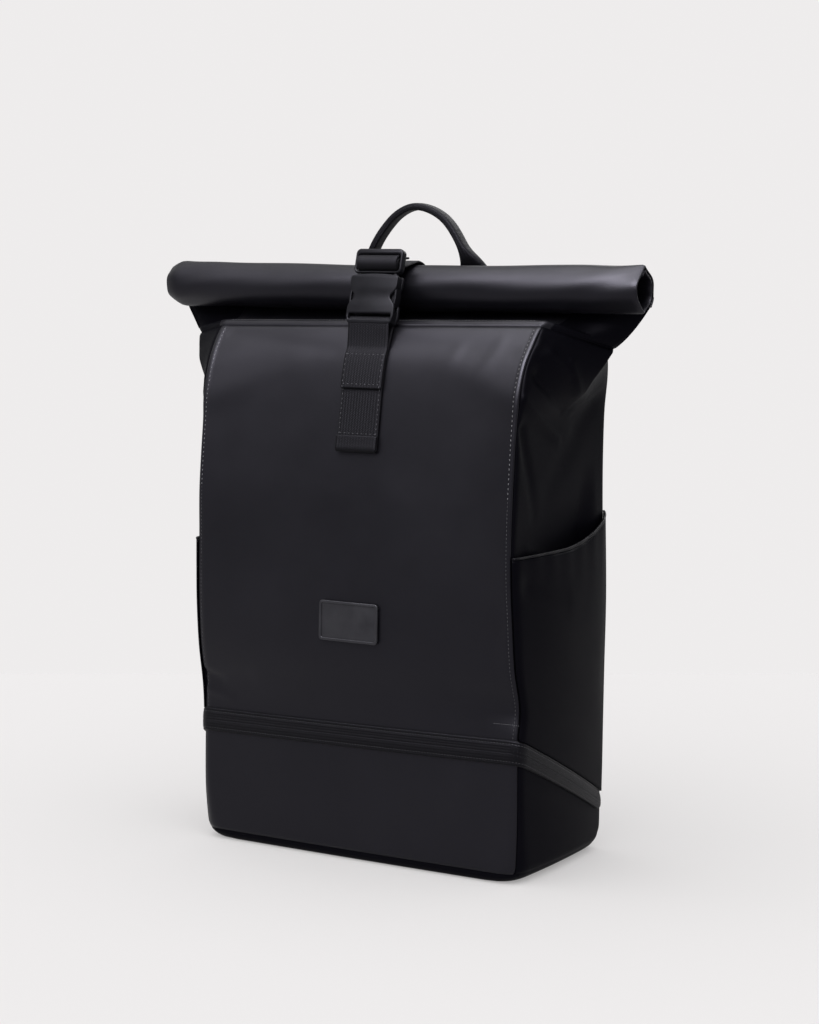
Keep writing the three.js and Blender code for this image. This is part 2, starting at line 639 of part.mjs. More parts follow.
// The zip's tape, over the seam between the main panels and the bottom compartment.
function zipBand() {
  const reach = 1 - ZIP_END / BODY_DEPTH;
  const heights = steps(6).map((t) => ZIP_HEIGHT + ZIP_WIDTH * t);
  const cornerShare = CORNER_RADIUS / BODY_DEPTH;
  const side = [0, cornerShare / 2, ...steps(4).map((t) => mix(cornerShare, reach, t))];
  const frontCorner = CORNER_RADIUS / BODY_WIDTH;
  const front = steps(6).map((t) => mix(frontCorner, 1 - frontCorner, t));
  const columns = [...side.map((s) => -s).reverse(), frontCorner / 2, ...front, 1 - frontCorner / 2,
    ...side.map((s) => 1 + s)];
  const grid = (offset) => heights.map((height) => {
    const t = (2 * (height - ZIP_HEIGHT)) / ZIP_WIDTH - 1;
    const rounding = ((1 - Math.sqrt(1 - t * t * ZIP_ROUNDING_SHARE)) * ZIP_WIDTH) / 2 / BODY_DEPTH;
    const pull = (i) => (i === 0 ? rounding : 0) - (i === columns.length - 1 ? rounding : 0);
    return columns.map((u, i) => skin(u + pull(i), height, offset));
  });
  return thinSolid(grid(SEAM_GAP + ZIP_TAPE), grid(SEAM_GAP));
}

// A small slider with its pull, parked at the hidden end of the zip on the left side.
function zipSlider() {
  const u = -(1 - (ZIP_END + ZIP_WIDTH) / BODY_DEPTH);
  const height = ZIP_HEIGHT + ZIP_WIDTH / 2;
  const seat = skin(u, height, SEAM_GAP * 2 + ZIP_TAPE);
  const out = skinNormal(u, height);
  const forward = skin(u + PROBE, height).sub(skin(u - PROBE, height)).normalize();
  const up = out.clone().cross(forward);
  const frame = new THREE.Matrix4().makeBasis(forward, up, out).setPosition(seat);
  const body = box(SLIDER_LENGTH, SLIDER_WIDTH, SLIDER_THICKNESS, 0, 0, SLIDER_THICKNESS / 2);
  const pull = box(PULL_LENGTH, PULL_WIDTH, PULL_THICKNESS,
    PULL_LAP - (SLIDER_LENGTH + PULL_LENGTH) / 2, 0, SLIDER_THICKNESS + PULL_THICKNESS / 2 - PULL_SINK);
  return fromManifold(join(toManifold(body), pull)).applyMatrix4(frame);
}

// Rolled top
const rollLength = BODY_WIDTH + BODY_DEPTH;
const rollHeight = BODY_HEIGHT + ROLL_RISE;

function rollAxis(x) {
  const share = (2 * x) / rollLength;
  return { y: ROLL_SETBACK, z: rollHeight - ROLL_SAG * (1 - share * share) };
}

// Distance of the rolled cloth's middle from the axis, at an angle counted on from its entry.
function rollReach(turned) {
  return ROLL_RADIUS - ROLL_CLOTH / 2 - ((ROLL_CLOTH + ROLL_LAYER_GAP) * turned) / (2 * Math.PI);
}

// The pinch that makes the open ends pointed above and below.
function rollPinch(x, angle) {
  const atEnd = Math.abs((2 * x) / rollLength) ** 3;
  return 1 + ROLL_POINT * mix(0.2, 1, atEnd) * (Math.abs(Math.sin(angle)) ** 8 - ROLL_POINT_KEEP);
}

function rollPoint(x, turned, offset) {
  const angle = radians(ROLL_ENTRY) + turned;
  const reach = (rollReach(turned) + offset) * rollPinch(x, angle);
  const axis = rollAxis(x);
  return vector(x, axis.y + reach * Math.cos(angle), axis.z + reach * Math.sin(angle));
}

function rolledCloth() {
  const across = ROLL_STATIONS.map((t) => (t - 0.5) * rollLength);
  const turns = steps(34).map((t) => mix(-ROLL_LEAD, ROLL_TURNS * 2 * Math.PI, t));
  const grid = (offset) => turns.map((turned) => across.map((x) => rollPoint(x, turned, offset)));
  return thinSolid(grid(ROLL_CLOTH / 2), grid(-ROLL_CLOTH / 2));
}

// The line where the collar's two layers meet and go into the roll, for each place round the bag.
function entryPoint(u) {
  const seat = sharpSkin(u, BODY_HEIGHT);
  const angle = radians(ROLL_ENTRY);
  const layerAt = (x, layer) => {
    const across = (ROLL_CLOTH / 2 - ROLL_INSET) * layer;
    return rollPoint(x, 0, 0).add(vector(0, -across * Math.cos(angle), -across * Math.sin(angle)));
  };
  const { face } = placeOf(u);
  if (face % 2 === 0) {
    return layerAt(seat.x, face === 0 ? 1 : -1);
  }
  const s = clamp01(alongSide(u));
  const folded = tent(s, earFold(face));
  const x = Math.sign(seat.x) * mix(BODY_WIDTH / 2, rollLength / 2 - SEAM_GAP, folded);
  const layer = folded === 1 ? 0 : (1 - folded / 2) * (s < earFold(face) ? 1 : -1);
  return layerAt(x, layer);
}

// The collar's outer surface: k runs from the seam, 0, to the line where it meets the roll, 1. In
// front the cloth runs in under the roll before it rises; at the back it rises straight.
function collarPoint(u, k) {
  const a = plainSkin(u, BODY_HEIGHT).add(vector(0, 0, 3 * SEAM_GAP));
  const c = entryPoint(u);
  const { face } = placeOf(u);
  const backward = face % 2 === 1 ? alongSide(u) : face / 2;
  const under = vector(mix(a.x, c.x, 0.5), mix(a.y, c.y, COLLAR_REACH), a.z + COLLAR_LIFT);
  const over = a.clone().lerp(c, 0.5).add(vector(0, 0, COLLAR_CROWN));
  const b = under.lerp(over, backward);
  return bezier(a, b, c, k);
}

// The collar's columns: front and back alike, and each side with a column on its fold.
function collarColumns() {
  const front = [0, COLLAR_CORNER, 0.2, 0.4, 0.6, 0.8, 1 - COLLAR_CORNER];
  const side = (fold) => [0, fold / 2, fold, (1 + fold) / 2];
  return [...front, ...side(EAR_FOLD_RIGHT).map((t) => 1 + t), ...front.map((t) => 2 + t),
    ...side(1 - EAR_FOLD_LEFT).map((t) => 3 + t)];
}

// The ring inside the collar's wall, pulled back from the sharp fold at each ear.
function collarInside(k) {
  const wall = (u, at) => {
    const here = collarPoint(u, at);
    const across = collarPoint(u + PROBE, at).sub(collarPoint(u - PROBE, at));
    const up = collarPoint(u, at + PROBE).sub(collarPoint(u, at - PROBE));
    const normal = across.cross(up).normalize();
    normal.z *= smooth(at / COLLAR_MITRE);
    return here.addScaledVector(normal.normalize(), -CLOTH);
  };
  const ring = (u) => {
    const { face, along } = placeOf(u);
    if (face % 2 === 0) {
      return wall(u, k);
    }
    const fold = face === 1 ? EAR_FOLD_RIGHT : 1 - EAR_FOLD_LEFT;
    const corner = along < fold ? face - COLLAR_CORNER : face + 1 + COLLAR_CORNER;
    const tip = collarPoint(face + fold, k);
    const before = collarPoint(face, k);
    const after = collarPoint(face + 1, k);
    const reach = Math.abs(tip.x - before.x);
    const sharpness = reach / Math.abs(before.y - after.y);
    tip.x -= Math.sign(tip.x) * Math.min(CLOTH * (1 + 2 * sharpness), reach * EAR_HOLLOW);
    return wall(corner, k).lerp(tip, tent(along, fold));
  };
  return collarColumns().map(ring);
}

// Collar and roll are one cloth: the collar is hollow and open below, and both its layers go on
// as the rolled sheet.
function rolltop() {
  const wall = (k) => collarColumns().map((u) => collarPoint(u, k));
  const outer = ringSolid([0, 0.3, 0.6, 0.85, 1].map(wall));
  const hollow = ringSolid([-0.2, 0, 0.3, 0.6].map(collarInside));
  return fromManifold(join(cut(toManifold(outer), hollow), rolledCloth()));
}

// Webbing: a flat band along a path of points, each with its own width, thickness and directions
function band(stations) {
  return ringSolid(stations.map(({ at, side, face, width, thickness }) => {
    const corners = [[-1, -1], [1, -1], [1, 1], [-1, 1]];
    return corners.map(([w, t]) => at.clone()
      .addScaledVector(side, (w * width) / 2)
      .addScaledVector(face, (t * thickness) / 2));
  }));
}

// A band of webbing in one upright plane, from a path in (y, z).
function flatBand(path, x, width, thickness) {
  const side = vector(1, 0, 0);
  const stations = path.map((point, i) => {
    const next = path[Math.min(i + 1, path.length - 1)];
    const last = path[Math.max(i - 1, 0)];
    const along = vector(0, next.y - last.y, next.z - last.z).normalize();
    const at = vector(x, point.y, point.z);
    return { at, side, face: side.clone().cross(along), width, thickness };
  });
  return band(stations);
}

// Buckle: two halves in one tilted frame. In that frame x is across, y up along the buckle with 0
// on the joint line, and z out of the bag.
const buckleWidth = WEBBING_WIDTH + 2 * BUCKLE_MARGIN;
const tilt = radians(BUCKLE_TILT);
const buckleFrame = new THREE.Matrix4()
  .makeRotationX(Math.PI / 2 - tilt)
  .setPosition(MIDDLE_X, ROLL_SETBACK - ROLL_RADIUS - BUCKLE_STANDOFF, rollHeight + BUCKLE_JOINT_RISE);

// A point of the buckle's middle plane in the bag's own frame.
function onBuckle(up, out) {
  return vector(0, up, out).applyMatrix4(buckleFrame);
}

function plate(outline, thickness) {
  const settings = { depth: thickness, bevelEnabled: false, curveSegments: 5 };
  return new THREE.ExtrudeGeometry(outline, settings).translate(0, 0, -thickness / 2);
}

function roundedOutline(width, low, high, radius) {
  const half = width / 2;
  const outline = new THREE.Shape();
  outline.moveTo(half - radius, low);
  outline.absarc(half - radius, low + radius, radius, -Math.PI / 2, 0, false);
  outline.absarc(half - radius, high - radius, radius, 0, Math.PI / 2, false);
  outline.absarc(-half + radius, high - radius, radius, Math.PI / 2, Math.PI, false);
  outline.absarc(-half + radius, low + radius, radius, Math.PI, Math.PI * 1.5, false);
  return outline;
}

const slotWidth = WEBBING_WIDTH + 2 * PLASTIC_GAP;
const slotLow = -BUCKLE_BODY_LENGTH + BUCKLE_BAR;
const cavityWidth = buckleWidth - 2 * BUCKLE_WALL;
const cavityLow = slotLow + BUCKLE_SLOT + BUCKLE_WALL;

function buckleBody() {
  const top = -PLASTIC_GAP / 2;
  const outline = roundedOutline(buckleWidth, -BUCKLE_BODY_LENGTH, top, 3.5);
  const shell = toManifold(plate(outline, BUCKLE_BODY_THICKNESS));
  const cavityHeight = BUCKLE_BODY_THICKNESS - 2 * BUCKLE_WALL;
  const cavity = box(cavityWidth, -cavityLow + 1, cavityHeight, 0, (cavityLow + 1) / 2, 0);
  const slot = box(slotWidth, BUCKLE_SLOT, BUCKLE_BODY_THICKNESS * 2, 0, slotLow + BUCKLE_SLOT / 2, 0);
  const thinBar = (BUCKLE_BODY_THICKNESS - BUCKLE_BAR_THICKNESS) / 2;
  const shave = [-1, 1].map((side) => box(slotWidth, BUCKLE_BAR * 2 + 1, thinBar,
    0, -BUCKLE_BODY_LENGTH, side * (BUCKLE_BODY_THICKNESS - thinBar) / 2));
  const waist = [-1, 1].map((side) => new THREE.CylinderGeometry(
    BUCKLE_WAIST_RADIUS, BUCKLE_WAIST_RADIUS, BUCKLE_BODY_THICKNESS * 2, 20)
    .rotateX(Math.PI / 2)
    .translate(side * (buckleWidth / 2 + BUCKLE_WAIST_RADIUS - BUCKLE_WAIST_DEPTH), -BUCKLE_WAIST_CENTRE, 0));
  return fromManifold(cut(shell, cavity, slot, ...shave, ...waist)).applyMatrix4(buckleFrame);
}

const prongLength = -cavityLow - PRONG_TIP_GAP;

// One springy prong: it leaves the frame inside the body and bows out to the waist.
function prong(side) {
  const outer = cavityWidth / 2 - PLASTIC_GAP;
  const path = new THREE.Shape();
  path.moveTo(side * (outer - PRONG_WIDTH), 1);
  path.lineTo(side * (outer - 1), 1);
  path.quadraticCurveTo(side * (outer - 3), -prongLength * 0.3, side * outer, -prongLength * 0.62);
  path.lineTo(side * (outer - 1.5), -prongLength);
  const inner = outer - PRONG_WIDTH;
  path.lineTo(side * inner, -prongLength * 0.92);
  path.quadraticCurveTo(side * (inner - 2), -prongLength * 0.4, side * inner, 1);
  return plate(path, BUCKLE_BODY_THICKNESS - 2 * BUCKLE_WALL - 2 * PLASTIC_GAP);
}

const frameBarLow = FRAME_BASE + BUCKLE_SLOT;
const frameBarHigh = frameBarLow + BUCKLE_BAR;

function buckleFrameHalf() {
  const outline = roundedOutline(buckleWidth, PLASTIC_GAP / 2, FRAME_LENGTH, 4);
  const lowSlot = box(slotWidth, BUCKLE_SLOT, FRAME_THICKNESS * 2, 0, FRAME_BASE + BUCKLE_SLOT / 2, 0);
  const highLength = FRAME_LENGTH - FRAME_TOP_BAR - frameBarHigh;
  const highSlot = box(slotWidth, highLength, FRAME_THICKNESS * 2, 0, frameBarHigh + highLength / 2, 0);
  const thinBar = (FRAME_THICKNESS - FRAME_BAR_THICKNESS) / 2;
  const shave = [-1, 1].map((side) => box(slotWidth, BUCKLE_BAR + 1, thinBar,
    0, frameBarLow + BUCKLE_BAR / 2, side * (FRAME_THICKNESS - thinBar) / 2));
  const tongue = box(TONGUE_WIDTH, prongLength * 0.8, FRAME_THICKNESS - 2 * PLASTIC_GAP,
    0, 1 - prongLength * 0.4, 0);
  const frame = cut(toManifold(plate(outline, FRAME_THICKNESS)), lowSlot, highSlot, ...shave);
  return fromManifold(join(frame, prong(-1), prong(1), tongue)).applyMatrix4(buckleFrame);
}

// Half a turn of webbing round a buckle bar: points from one face of the bar to the other.
function aroundBar(barUp, barThickness, leave, count) {
  const reach = Math.hypot(BUCKLE_BAR, barThickness) / 2 + SEAM_GAP + WEBBING / 2;
  return steps(count).map((t) => {
    const angle = mix(leave, leave + Math.PI, t);
    return onBuckle(barUp + reach * Math.sin(angle), reach * Math.cos(angle));
  });
}

// The closure strap: sewn to the back, over the roll, round the frame's bar and back on itself.
function closureStrap() {
  const middleU = 2.5 - MIDDLE_X / BODY_WIDTH;
  const seat = SEAM_GAP + WEBBING / 2;
  const anchor = rowsBetween(BODY_HEIGHT - CLOSURE_ANCHOR_DROP, BODY_HEIGHT - SEAM_GAP, 2)
    .map((height) => skin(middleU, height, seat + 4 * SEAM_GAP));
  const clear = vector(0, 0.6, 0.8).multiplyScalar(2 * seat + SEAM_GAP);
  const roof = [0.02, 0.25, 0.5].map((k) => collarPoint(middleU, k).add(clear));
  const axis = rollAxis(MIDDLE_X);
  const lap = ROLL_RADIUS * 1.02 + SEAM_GAP + WEBBING / 2;
  const over = [40, 52, 64, 76, 88].map((degrees) => {
    const angle = radians(degrees);
    return vector(0, axis.y + lap * Math.cos(angle), axis.z + lap * Math.sin(angle));
  });
  const barUp = (frameBarLow + frameBarHigh) / 2;
  const turn = aroundBar(barUp, FRAME_BAR_THICKNESS, -Math.PI * 0.62, 5);
  const leg = over.at(-1).clone().sub(onBuckle(barUp, 0)).setX(0).normalize();
  const tail = turn.at(-1).clone().addScaledVector(leg, CLOSURE_TAIL);
  return flatBand([...anchor, ...roof, ...over, ...turn, tail], MIDDLE_X, WEBBING_WIDTH, WEBBING);
}

// The front strap: sewn to the front panel, up round the bar of the buckle's body, and folded
// back down over itself. Its lower end is turned up into a hem.
function frontStrap() {
  const middleU = 0.5 + MIDDLE_X / BODY_WIDTH;
  const inner = SEAM_GAP + WEBBING / 2;
  const outer = inner + WEBBING + SEAM_GAP;
  const top = BODY_HEIGHT - STRAP_LIFT_OFF;
  const foot = BODY_HEIGHT - STRAP_DROP;
  const step = BODY_HEIGHT - STRAP_STEP_DROP;
  const half = WEBBING_WIDTH / 2 / BODY_WIDTH;
  const lie = (height, offset) => [-half, 0, half]
    .map((shift) => skin(middleU + shift, height, offset + SEAM_GAP))
    .reduce((best, point) => (point.y < best.y ? point : best));
  const hem = lie(foot + STRAP_HEM, outer);
  const fold = lie(foot, (inner + outer) / 2);
  const under = rowsBetween(foot + WEBBING, top, 4).map((height) => lie(height, inner));
  const barUp = -BUCKLE_BODY_LENGTH + BUCKLE_BAR / 2;
  const turn = aroundBar(barUp, BUCKLE_BAR_THICKNESS, -Math.PI * 0.05, 5).reverse();
  const over = rowsBetween(step, top, 4).reverse().map((height) => lie(height, outer));
  return flatBand([hem, fold, ...under, ...turn, ...over], MIDDLE_X, WEBBING_WIDTH, WEBBING);
}

// A bare moulded patch with a raised rim.
function patch() {
  const u = 0.5 + (MIDDLE_X + 1) / BODY_WIDTH;
  const out = skinNormal(u, PATCH_CENTRE);
  const across = vector(1, 0, 0).addScaledVector(out, -out.x).normalize();
  const up = out.clone().cross(across);
  const seat = skin(u, PATCH_CENTRE, SEAM_GAP * 2);
  const frame = new THREE.Matrix4().makeBasis(across, up, out).setPosition(seat);
  const half = PATCH_HEIGHT / 2;
  const body = plate(roundedOutline(PATCH_WIDTH, -half, half, PATCH_RADIUS), PATCH_THICKNESS);
  const field = plate(roundedOutline(PATCH_WIDTH - 2 * PATCH_RIM, -half + PATCH_RIM, half - PATCH_RIM,
    PATCH_RADIUS / 2), PATCH_RECESS * 2).translate(0, 0, PATCH_THICKNESS / 2);
  return fromManifold(cut(toManifold(body), field))
    .translate(0, 0, PATCH_THICKNESS / 2)
    .applyMatrix4(frame);
}

// The top handle: webbing with two flat feet on the back panel, folded to a tube over the arch.
function topHandle() {
  const top = rollHeight + HANDLE_RISE;
  const backU = (side) => 2.5 - (side * HANDLE_SPREAD) / BODY_WIDTH;
  const foot = (side, height) => skin(backU(side), height, SEAM_GAP * 2 + WEBBING);
  const leg = (side) => {
    const at = (inward, back, height) =>
      vector(side * (HANDLE_SPREAD - inward), HANDLE_FORWARD + back, height);
    const low = BODY_HEIGHT - HANDLE_FOOT_DROP;
    const seated = rowsBetween(low, BODY_HEIGHT - BASE_TURN, 2).map((height) => foot(side, height));
    const bend = at(0, HANDLE_BEND_BACK, BODY_HEIGHT + HANDLE_BEND_RISE);
    const knee = at(HANDLE_KNEE_IN, 0, top - HANDLE_KNEE_DROP);
    return [...seated, bend, knee, at(HANDLE_SHOULDER_IN, 0, top - HANDLE_SHOULDER_DROP)];
  };
  const points = [...leg(-1), vector(HANDLE_SHIFT, HANDLE_FORWARD, top), ...leg(1).reverse()];
  const curve = new THREE.CatmullRomCurve3(points, false, "centripetal");
  const stations = steps(30).map((t) => {
    const tangent = curve.getTangentAt(t);
    const radial = vector(tangent.z, 0, -tangent.x);
    const side = radial.normalize();
    const face = side.clone().cross(tangent).normalize();
    const thin = clamp01(lookup(HANDLE_FOLD, "along", t, "thin"));
    const width = mix(WEBBING_WIDTH, HANDLE_THICKNESS, smooth(thin));
    const thickness = mix(WEBBING, HANDLE_DEPTH, smooth(thin));
    return { at: curve.getPointAt(t), side, face, width, thickness };
  });
  return ringSolid(stations.map((station) => ovalRing(station)));
}

// A rounded section across a station of a band.
function ovalRing({ at, side, face, width, thickness }) {
  const bevel = 0.62;
  const quarter = [[bevel, -1], [1, -bevel], [1, bevel], [bevel, 1]];
  const shape = [...quarter, ...quarter.map(([w, t]) => [-w, -t])];
  return shape.map(([w, t]) => at.clone()
    .addScaledVector(side, (w * width) / 2)
    .addScaledVector(face, (t * thickness) / 2));
}

// A place behind the back panel at a real height, with a clearance from it. The skin's own height
// there is found by halving, because the back hangs lower than the front.
function behindBack(x, z, offset) {
  const u = 2.5 - x / BODY_WIDTH;
  let low = 0;
  let high = BODY_HEIGHT;
  for (let i = 0; i < 24; i += 1) {
    const middle = (low + high) / 2;
    if (plainSkin(u, middle).z < z) {
      low = middle;
    } else {
      high = middle;
    }
  }
  return plainSkin(u, low).add(vector(0, offset, 0));
}

function shoulderStations(side) {
  return steps(14).map((t) => {
    const x = side * mix(SHOULDER_SPREAD, SHOULDER_FOOT_SPREAD, t * t);
    const z = mix(BODY_HEIGHT - SHOULDER_DROP, SHOULDER_BOTTOM, t);
    const off = lookup(SHOULDER_SHAPE, "along", t, "off") * SHOULDER_STANDOFF;
    const seat = SEAM_GAP * 2 + SHOULDER_PADDING / 2;
    const width = SHOULDER_WIDTH * lookup(SHOULDER_SHAPE, "along", t, "wide");
    return { at: behindBack(x, z, off + seat), width };
  });
}

function withDirections(stations, thickness) {
  return stations.map(({ at, width }, i) => {
    const next = stations[Math.min(i + 1, stations.length - 1)].at;
    const last = stations[Math.max(i - 1, 0)].at;
    const along = next.clone().sub(last).normalize();
    const side = vector(0, 1, 0).cross(along).normalize();
    return { at, side, face: along.clone().cross(side).normalize(), width, thickness };
  });
}

function shoulderStrap(side) {
  return ringSolid(withDirections(shoulderStations(side), SHOULDER_PADDING).map(ovalRing));
}

// Where the padded strap ends and which way it points there.
function shoulderEnd(side) {
  const stations = shoulderStations(side);
  const end = stations.at(-1).at;
  const along = end.clone().sub(stations.at(-2).at).normalize();
  const anchor = behindBack(side * LOWER_ANCHOR_SPREAD, LOWER_ANCHOR_HEIGHT, SEAM_GAP * 2 + WEBBING / 2);
  return { end, anchor, along };
}

// The ladder adjuster under the padded strap.
function strapAdjuster(side) {
  const { end, along } = shoulderEnd(side);
  const across = vector(0, 1, 0).cross(along).normalize();
  const out = across.clone().cross(along).normalize();
  const centre = end.clone().addScaledVector(along, SEAM_GAP * 3 + ADJUSTER_LENGTH / 2);
  const frame = new THREE.Matrix4().makeBasis(across, along, out).setPosition(centre);
  const width = LOWER_WEBBING_WIDTH + 2 * ADJUSTER_MARGIN;
  const half = ADJUSTER_LENGTH / 2;
  const window = (ADJUSTER_LENGTH - 4 * ADJUSTER_BAR) / 3;
  const body = toManifold(plate(roundedOutline(width, -half, half, 2), ADJUSTER_THICKNESS));
  const windows = [0, 1, 2].map((i) => box(LOWER_WEBBING_WIDTH + PLASTIC_GAP, window, ADJUSTER_THICKNESS * 2,
    0, -half + ADJUSTER_BAR + window / 2 + i * (window + ADJUSTER_BAR), 0));
  return fromManifold(cut(body, ...windows)).applyMatrix4(frame);
}

function lowerWebbing(side) {
  const { end, anchor, along } = shoulderEnd(side);
  const start = end.clone().addScaledVector(along, SEAM_GAP * 6 + ADJUSTER_LENGTH);
  const bend = start.clone().addScaledVector(along, LOWER_WEBBING_WIDTH);
  const curve = new THREE.QuadraticBezierCurve3(start, bend, anchor);
  const stations = curve.getPoints(8).map((at) => ({ at, width: LOWER_WEBBING_WIDTH }));
  return band(withDirections(stations, WEBBING));
}

// Materials: colour, roughness and metalness of each kind of surface
const coatedCloth = () => new THREE.MeshStandardMaterial({ color: 0x202023, roughness: 0.62, metalness: 0 });
const sideCloth = () => new THREE.MeshStandardMaterial({ color: 0x17171a, roughness: 0.7, metalness: 0 });
const webbing = () => new THREE.MeshStandardMaterial({ color: 0x26262a, roughness: 0.85, metalness: 0 });
const zipTape = () => new THREE.MeshStandardMaterial({ color: 0x19191c, roughness: 0.6, metalness: 0 });
const plastic = () => new THREE.MeshStandardMaterial({ color: 0x2d2e32, roughness: 0.42, metalness: 0 });
const rubber = () => new THREE.MeshStandardMaterial({ color: 0x1b1b1e, roughness: 0.5, metalness: 0 });
const padding = () => new THREE.MeshStandardMaterial({ color: 0x1d1d20, roughness: 0.8, metalness: 0 });
const metal = () => new THREE.MeshStandardMaterial({ color: 0x2a2a2c, roughness: 0.35, metalness: 0.9 });

const backpack = new THREE.Group();

function add(name, geometry, material) {
  const mesh = new THREE.Mesh(geometry, material);
  mesh.name = name;
  backpack.add(mesh);
}

add("front_panel", frontPanel(), coatedCloth());
add("back_panel", backPanel(), padding());
add("base_panel", basePanel(), coatedCloth());
add("lower_front", lowerPanel(0, 6), coatedCloth());
add("zip_band", zipBand(), zipTape());
add("zip_slider", zipSlider(), metal());
add("rolltop", rolltop(), coatedCloth());
add("closure_strap", closureStrap(), webbing());
add("buckle_frame", buckleFrameHalf(), plastic());
add("buckle_body", buckleBody(), plastic());
add("front_strap", frontStrap(), webbing());
add("patch", patch(), rubber());
add("top_handle", topHandle(), webbing());

const SIDES = [
  { name: "left", face: 3, side: -1 },
  { name: "right", face: 1, side: 1 },
];
for (const { name, face, side } of SIDES) {
  add(`side_panel_${name}`, sidePanel(face), sideCloth());
  add(`lower_side_${name}`, lowerPanel(face, 4), sideCloth());
  add(`side_pocket_${name}`, sidePocket(face), sideCloth());
  add(`shoulder_strap_${name}`, shoulderStrap(side), padding());
  add(`strap_adjuster_${name}`, strapAdjuster(side), plastic());
  add(`lower_webbing_${name}`, lowerWebbing(side), webbing());
}

export default backpack;
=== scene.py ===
# %% [markdown]
# # A soft rolltop backpack
#
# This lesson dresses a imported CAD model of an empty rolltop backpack. The CAD nodes give the exact
# places and sizes. Each cloth panel is sewn here again as a fine grid over the same skin, because
# cloth needs small folds, rounded seams and stitches that a light solid leaves out.

# %% Load the frame
import math

import bmesh
import bpy
import numpy as np
from mathutils import Matrix, Vector


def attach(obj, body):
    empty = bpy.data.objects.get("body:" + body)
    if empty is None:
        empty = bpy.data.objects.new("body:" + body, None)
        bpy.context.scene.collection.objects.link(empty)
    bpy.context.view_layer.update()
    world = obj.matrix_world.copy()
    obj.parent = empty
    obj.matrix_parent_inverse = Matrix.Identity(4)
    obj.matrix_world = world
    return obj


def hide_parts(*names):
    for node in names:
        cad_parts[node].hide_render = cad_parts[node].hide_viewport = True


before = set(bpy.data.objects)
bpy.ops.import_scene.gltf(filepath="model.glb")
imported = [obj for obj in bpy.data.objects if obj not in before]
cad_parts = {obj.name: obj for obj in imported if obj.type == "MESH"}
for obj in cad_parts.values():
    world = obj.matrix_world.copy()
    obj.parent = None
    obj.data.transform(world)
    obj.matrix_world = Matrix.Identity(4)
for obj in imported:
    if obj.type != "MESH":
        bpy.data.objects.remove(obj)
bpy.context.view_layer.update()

MM = 0.001


def linked(name, data):
    """A new object with that data, put into the scene."""
    made = bpy.data.objects.new(name, data)
    bpy.context.scene.collection.objects.link(made)
    return made


# %% [markdown]
# ## The camera
#
# The camera is made first. It stands at a real place, found by matching the edges of the bag, and
# looks a little down on its front right corner. A long lens keeps the upright edges upright.

# %% Place the camera
VIEW_AZIMUTH = math.radians(31.41)
VIEW_PITCH = math.radians(6.76)
CAMERA_PLACE = Vector((1.01435, -1.64715, 0.50451))
CAMERA_LENS = 83.8

look_back = Vector((
    math.sin(VIEW_AZIMUTH) * math.cos(VIEW_PITCH),
    -math.cos(VIEW_AZIMUTH) * math.cos(VIEW_PITCH),
    math.sin(VIEW_PITCH),
))
camera = linked("camera", bpy.data.cameras.new("camera"))
camera.location = CAMERA_PLACE
camera.rotation_mode = "QUATERNION"
camera.rotation_quaternion = (-look_back).to_track_quat("-Z", "Y")
camera.data.lens = CAMERA_LENS
camera.data.sensor_width = 36.0
camera.data.dof.use_dof = False
bpy.context.scene.camera = camera
print("camera is", round((CAMERA_PLACE - Vector((0, 0, 0.25))).length, 3), "m from the bag")

# %% [markdown]
# ## The skin of the bag
#
# A sewn bag is one continuous skin, cut into panels along its seams. So one function gives every
# point of that skin: `u` runs round the bag (0 to 1 front, 1 to 2 right side, 2 to 3 back, 3 to 4
# left side) and `h` runs up it. All panels, trims and stitches then lie on the same surface. The
# sizes are in millimetres, as a pattern maker would write them.

# %% Name the sizes of the bag
BODY_WIDTH = 302.0
BODY_DEPTH = 142.0
BODY_HEIGHT = 428.5
CLOTH = 1.8
BACK_PADDING = 5.0
SEAM_GAP = 0.3
CORNER_RADIUS = 8.0
FOOT_RADIUS_SIDE = 15.0
FOOT_RADIUS_FRONT = 7.0
BASE_TURN = 9.0
SEAM_MITRE = 12.0
PADDING_EDGE = 14.0
BELLY = 11.0
SIDE_BULGE = 5.0
BACK_BULGE = 4.0
EAR_REACH = 36.0
EAR_DIP = {1: 15.0, 3: 6.0}
EAR_FOLD = {1: 0.5, 3: 0.18}
LEAN = 5.0
BACK_DROP = 69.0
FOLD_FADE = 0.6
ZIP_HEIGHT = 93.0
ZIP_WIDTH = 19.5
ZIP_TAPE = 1.2
ZIP_END = 9.0
ZIP_END_ROUND = 0.96
ZIP_SEAM = 0.45
SEAM_HEIGHT = ZIP_HEIGHT + ZIP_WIDTH * ZIP_SEAM

